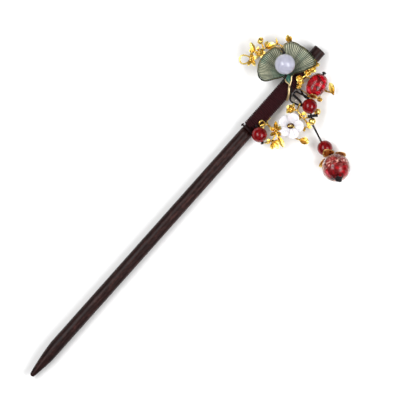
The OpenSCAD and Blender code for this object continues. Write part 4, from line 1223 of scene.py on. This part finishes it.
def make_ring():
    f = Form()
    r = (ring_d - wire_d) / 2
    f.tube(right(23.4, gap + ring_d / 2, -0.6) + oval(r, r, 5), wire_d, 14, closed=True, wobble=0.02)
    f.make("wire_ring_loop", [SILVER], "wire_ring")


make_shaft()
make_binding()
make_end_tie()
leaf_plan = outline_points(0.3)
make_blade(leaf_plan)
make_rim(leaf_plan)
make_beads()
make_caps()
make_white_cord()
make_glass_cord()
make_branch_cord()
make_lower_cord()
make_drop_cord()
make_spray()
make_head_twig()
make_side_twig()
make_branch()
make_blossom()
make_shell_flower()
make_ring()


# Stage, light and camera. The photograph's right and up directions lie in the surface's plane. In metres.
RIGHT = Vector((0.66508, -0.74677, 0))
UP = Vector((0.74677, 0.66508, 0))
TO_EYE = Vector((0, 0, 1))
LOOK = Vector((-33.42, -4.23, 0)) * MM
WIDTH = 165.1 * MM
LIT_POINT = Vector((15, -5, 0)) * MM
WINDOW_WIDE, WINDOW_TALL, WINDOW_FAR, WINDOW_POWER = 0.26, 0.46, 0.62, 3.0
FLOOR_HALF = 1.2


def add_stage():
    square = ((-1, -1), (1, -1), (1, 1), (-1, 1))
    mesh = bpy.data.meshes.new("floor")
    mesh.from_pydata([(x * FLOOR_HALF, y * FLOOR_HALF, floor_z * MM) for x, y in square], [], [(0, 1, 2, 3)])
    floor = add_object("floor", mesh)
    n = Nodes("pale_floor")
    colour = n.ramp(n.noise(6, 2), [(0.3, (0.90, 0.90, 0.90)), (0.7, (0.93, 0.93, 0.93))])
    mesh.materials.append(n.finish(colour, 0.9, Specular_IOR_Level=0.0))


def add_window(name, tilt, drop):
    """A soft window seen from the object at an angle to the photograph's right and up."""
    light = bpy.data.lights.new(name, "AREA")
    light.shape = "RECTANGLE"
    light.size, light.size_y = WINDOW_WIDE, WINDOW_TALL
    light.energy = WINDOW_POWER
    back = (RIGHT * sin(tilt) + UP * sin(drop) + TO_EYE * cos(tilt) * cos(drop)).normalized()
    across = (RIGHT - back * RIGHT.dot(back)).normalized()
    ob = add_object(name, light)
    ob.location = LIT_POINT + back * WINDOW_FAR
    ob.rotation_euler = Matrix((across, back.cross(across), back)).transposed().to_euler()


def add_room():
    """Dim light from all round, brightest between the horizon and the zenith."""
    n = Nodes("room", bpy.data.worlds, "Background")
    height = n.new("ShaderNodeSeparateXYZ", Vector=n.new("ShaderNodeTexCoord").outputs["Generated"])
    greys = ((0.0, 0.03), (0.25, 0.06), (0.55, 0.34), (0.85, 0.34), (1.0, 0.12))
    colour = n.ramp(height.outputs["Z"], [(at, (grey, grey, grey)) for at, grey in greys])
    n.fill(n.shader, Color=colour)
    bpy.context.scene.world = n.owner


def add_camera():
    cam = bpy.data.cameras.new("camera")
    cam.lens = 400
    cam.sensor_width = 36
    cam.sensor_fit = "HORIZONTAL"
    cam.clip_end = 10
    ob = add_object("camera", cam)
    ob.location = LOOK + TO_EYE * (WIDTH * cam.lens / cam.sensor_width)
    ob.rotation_euler = Matrix((RIGHT, UP, TO_EYE)).transposed().to_euler()
    bpy.context.scene.camera = ob


add_stage()
add_window("window_left", -30, 6)
add_window("window_right", 37, -11)
add_room()
add_camera()
bpy.context.scene.view_settings.view_transform = "Standard"
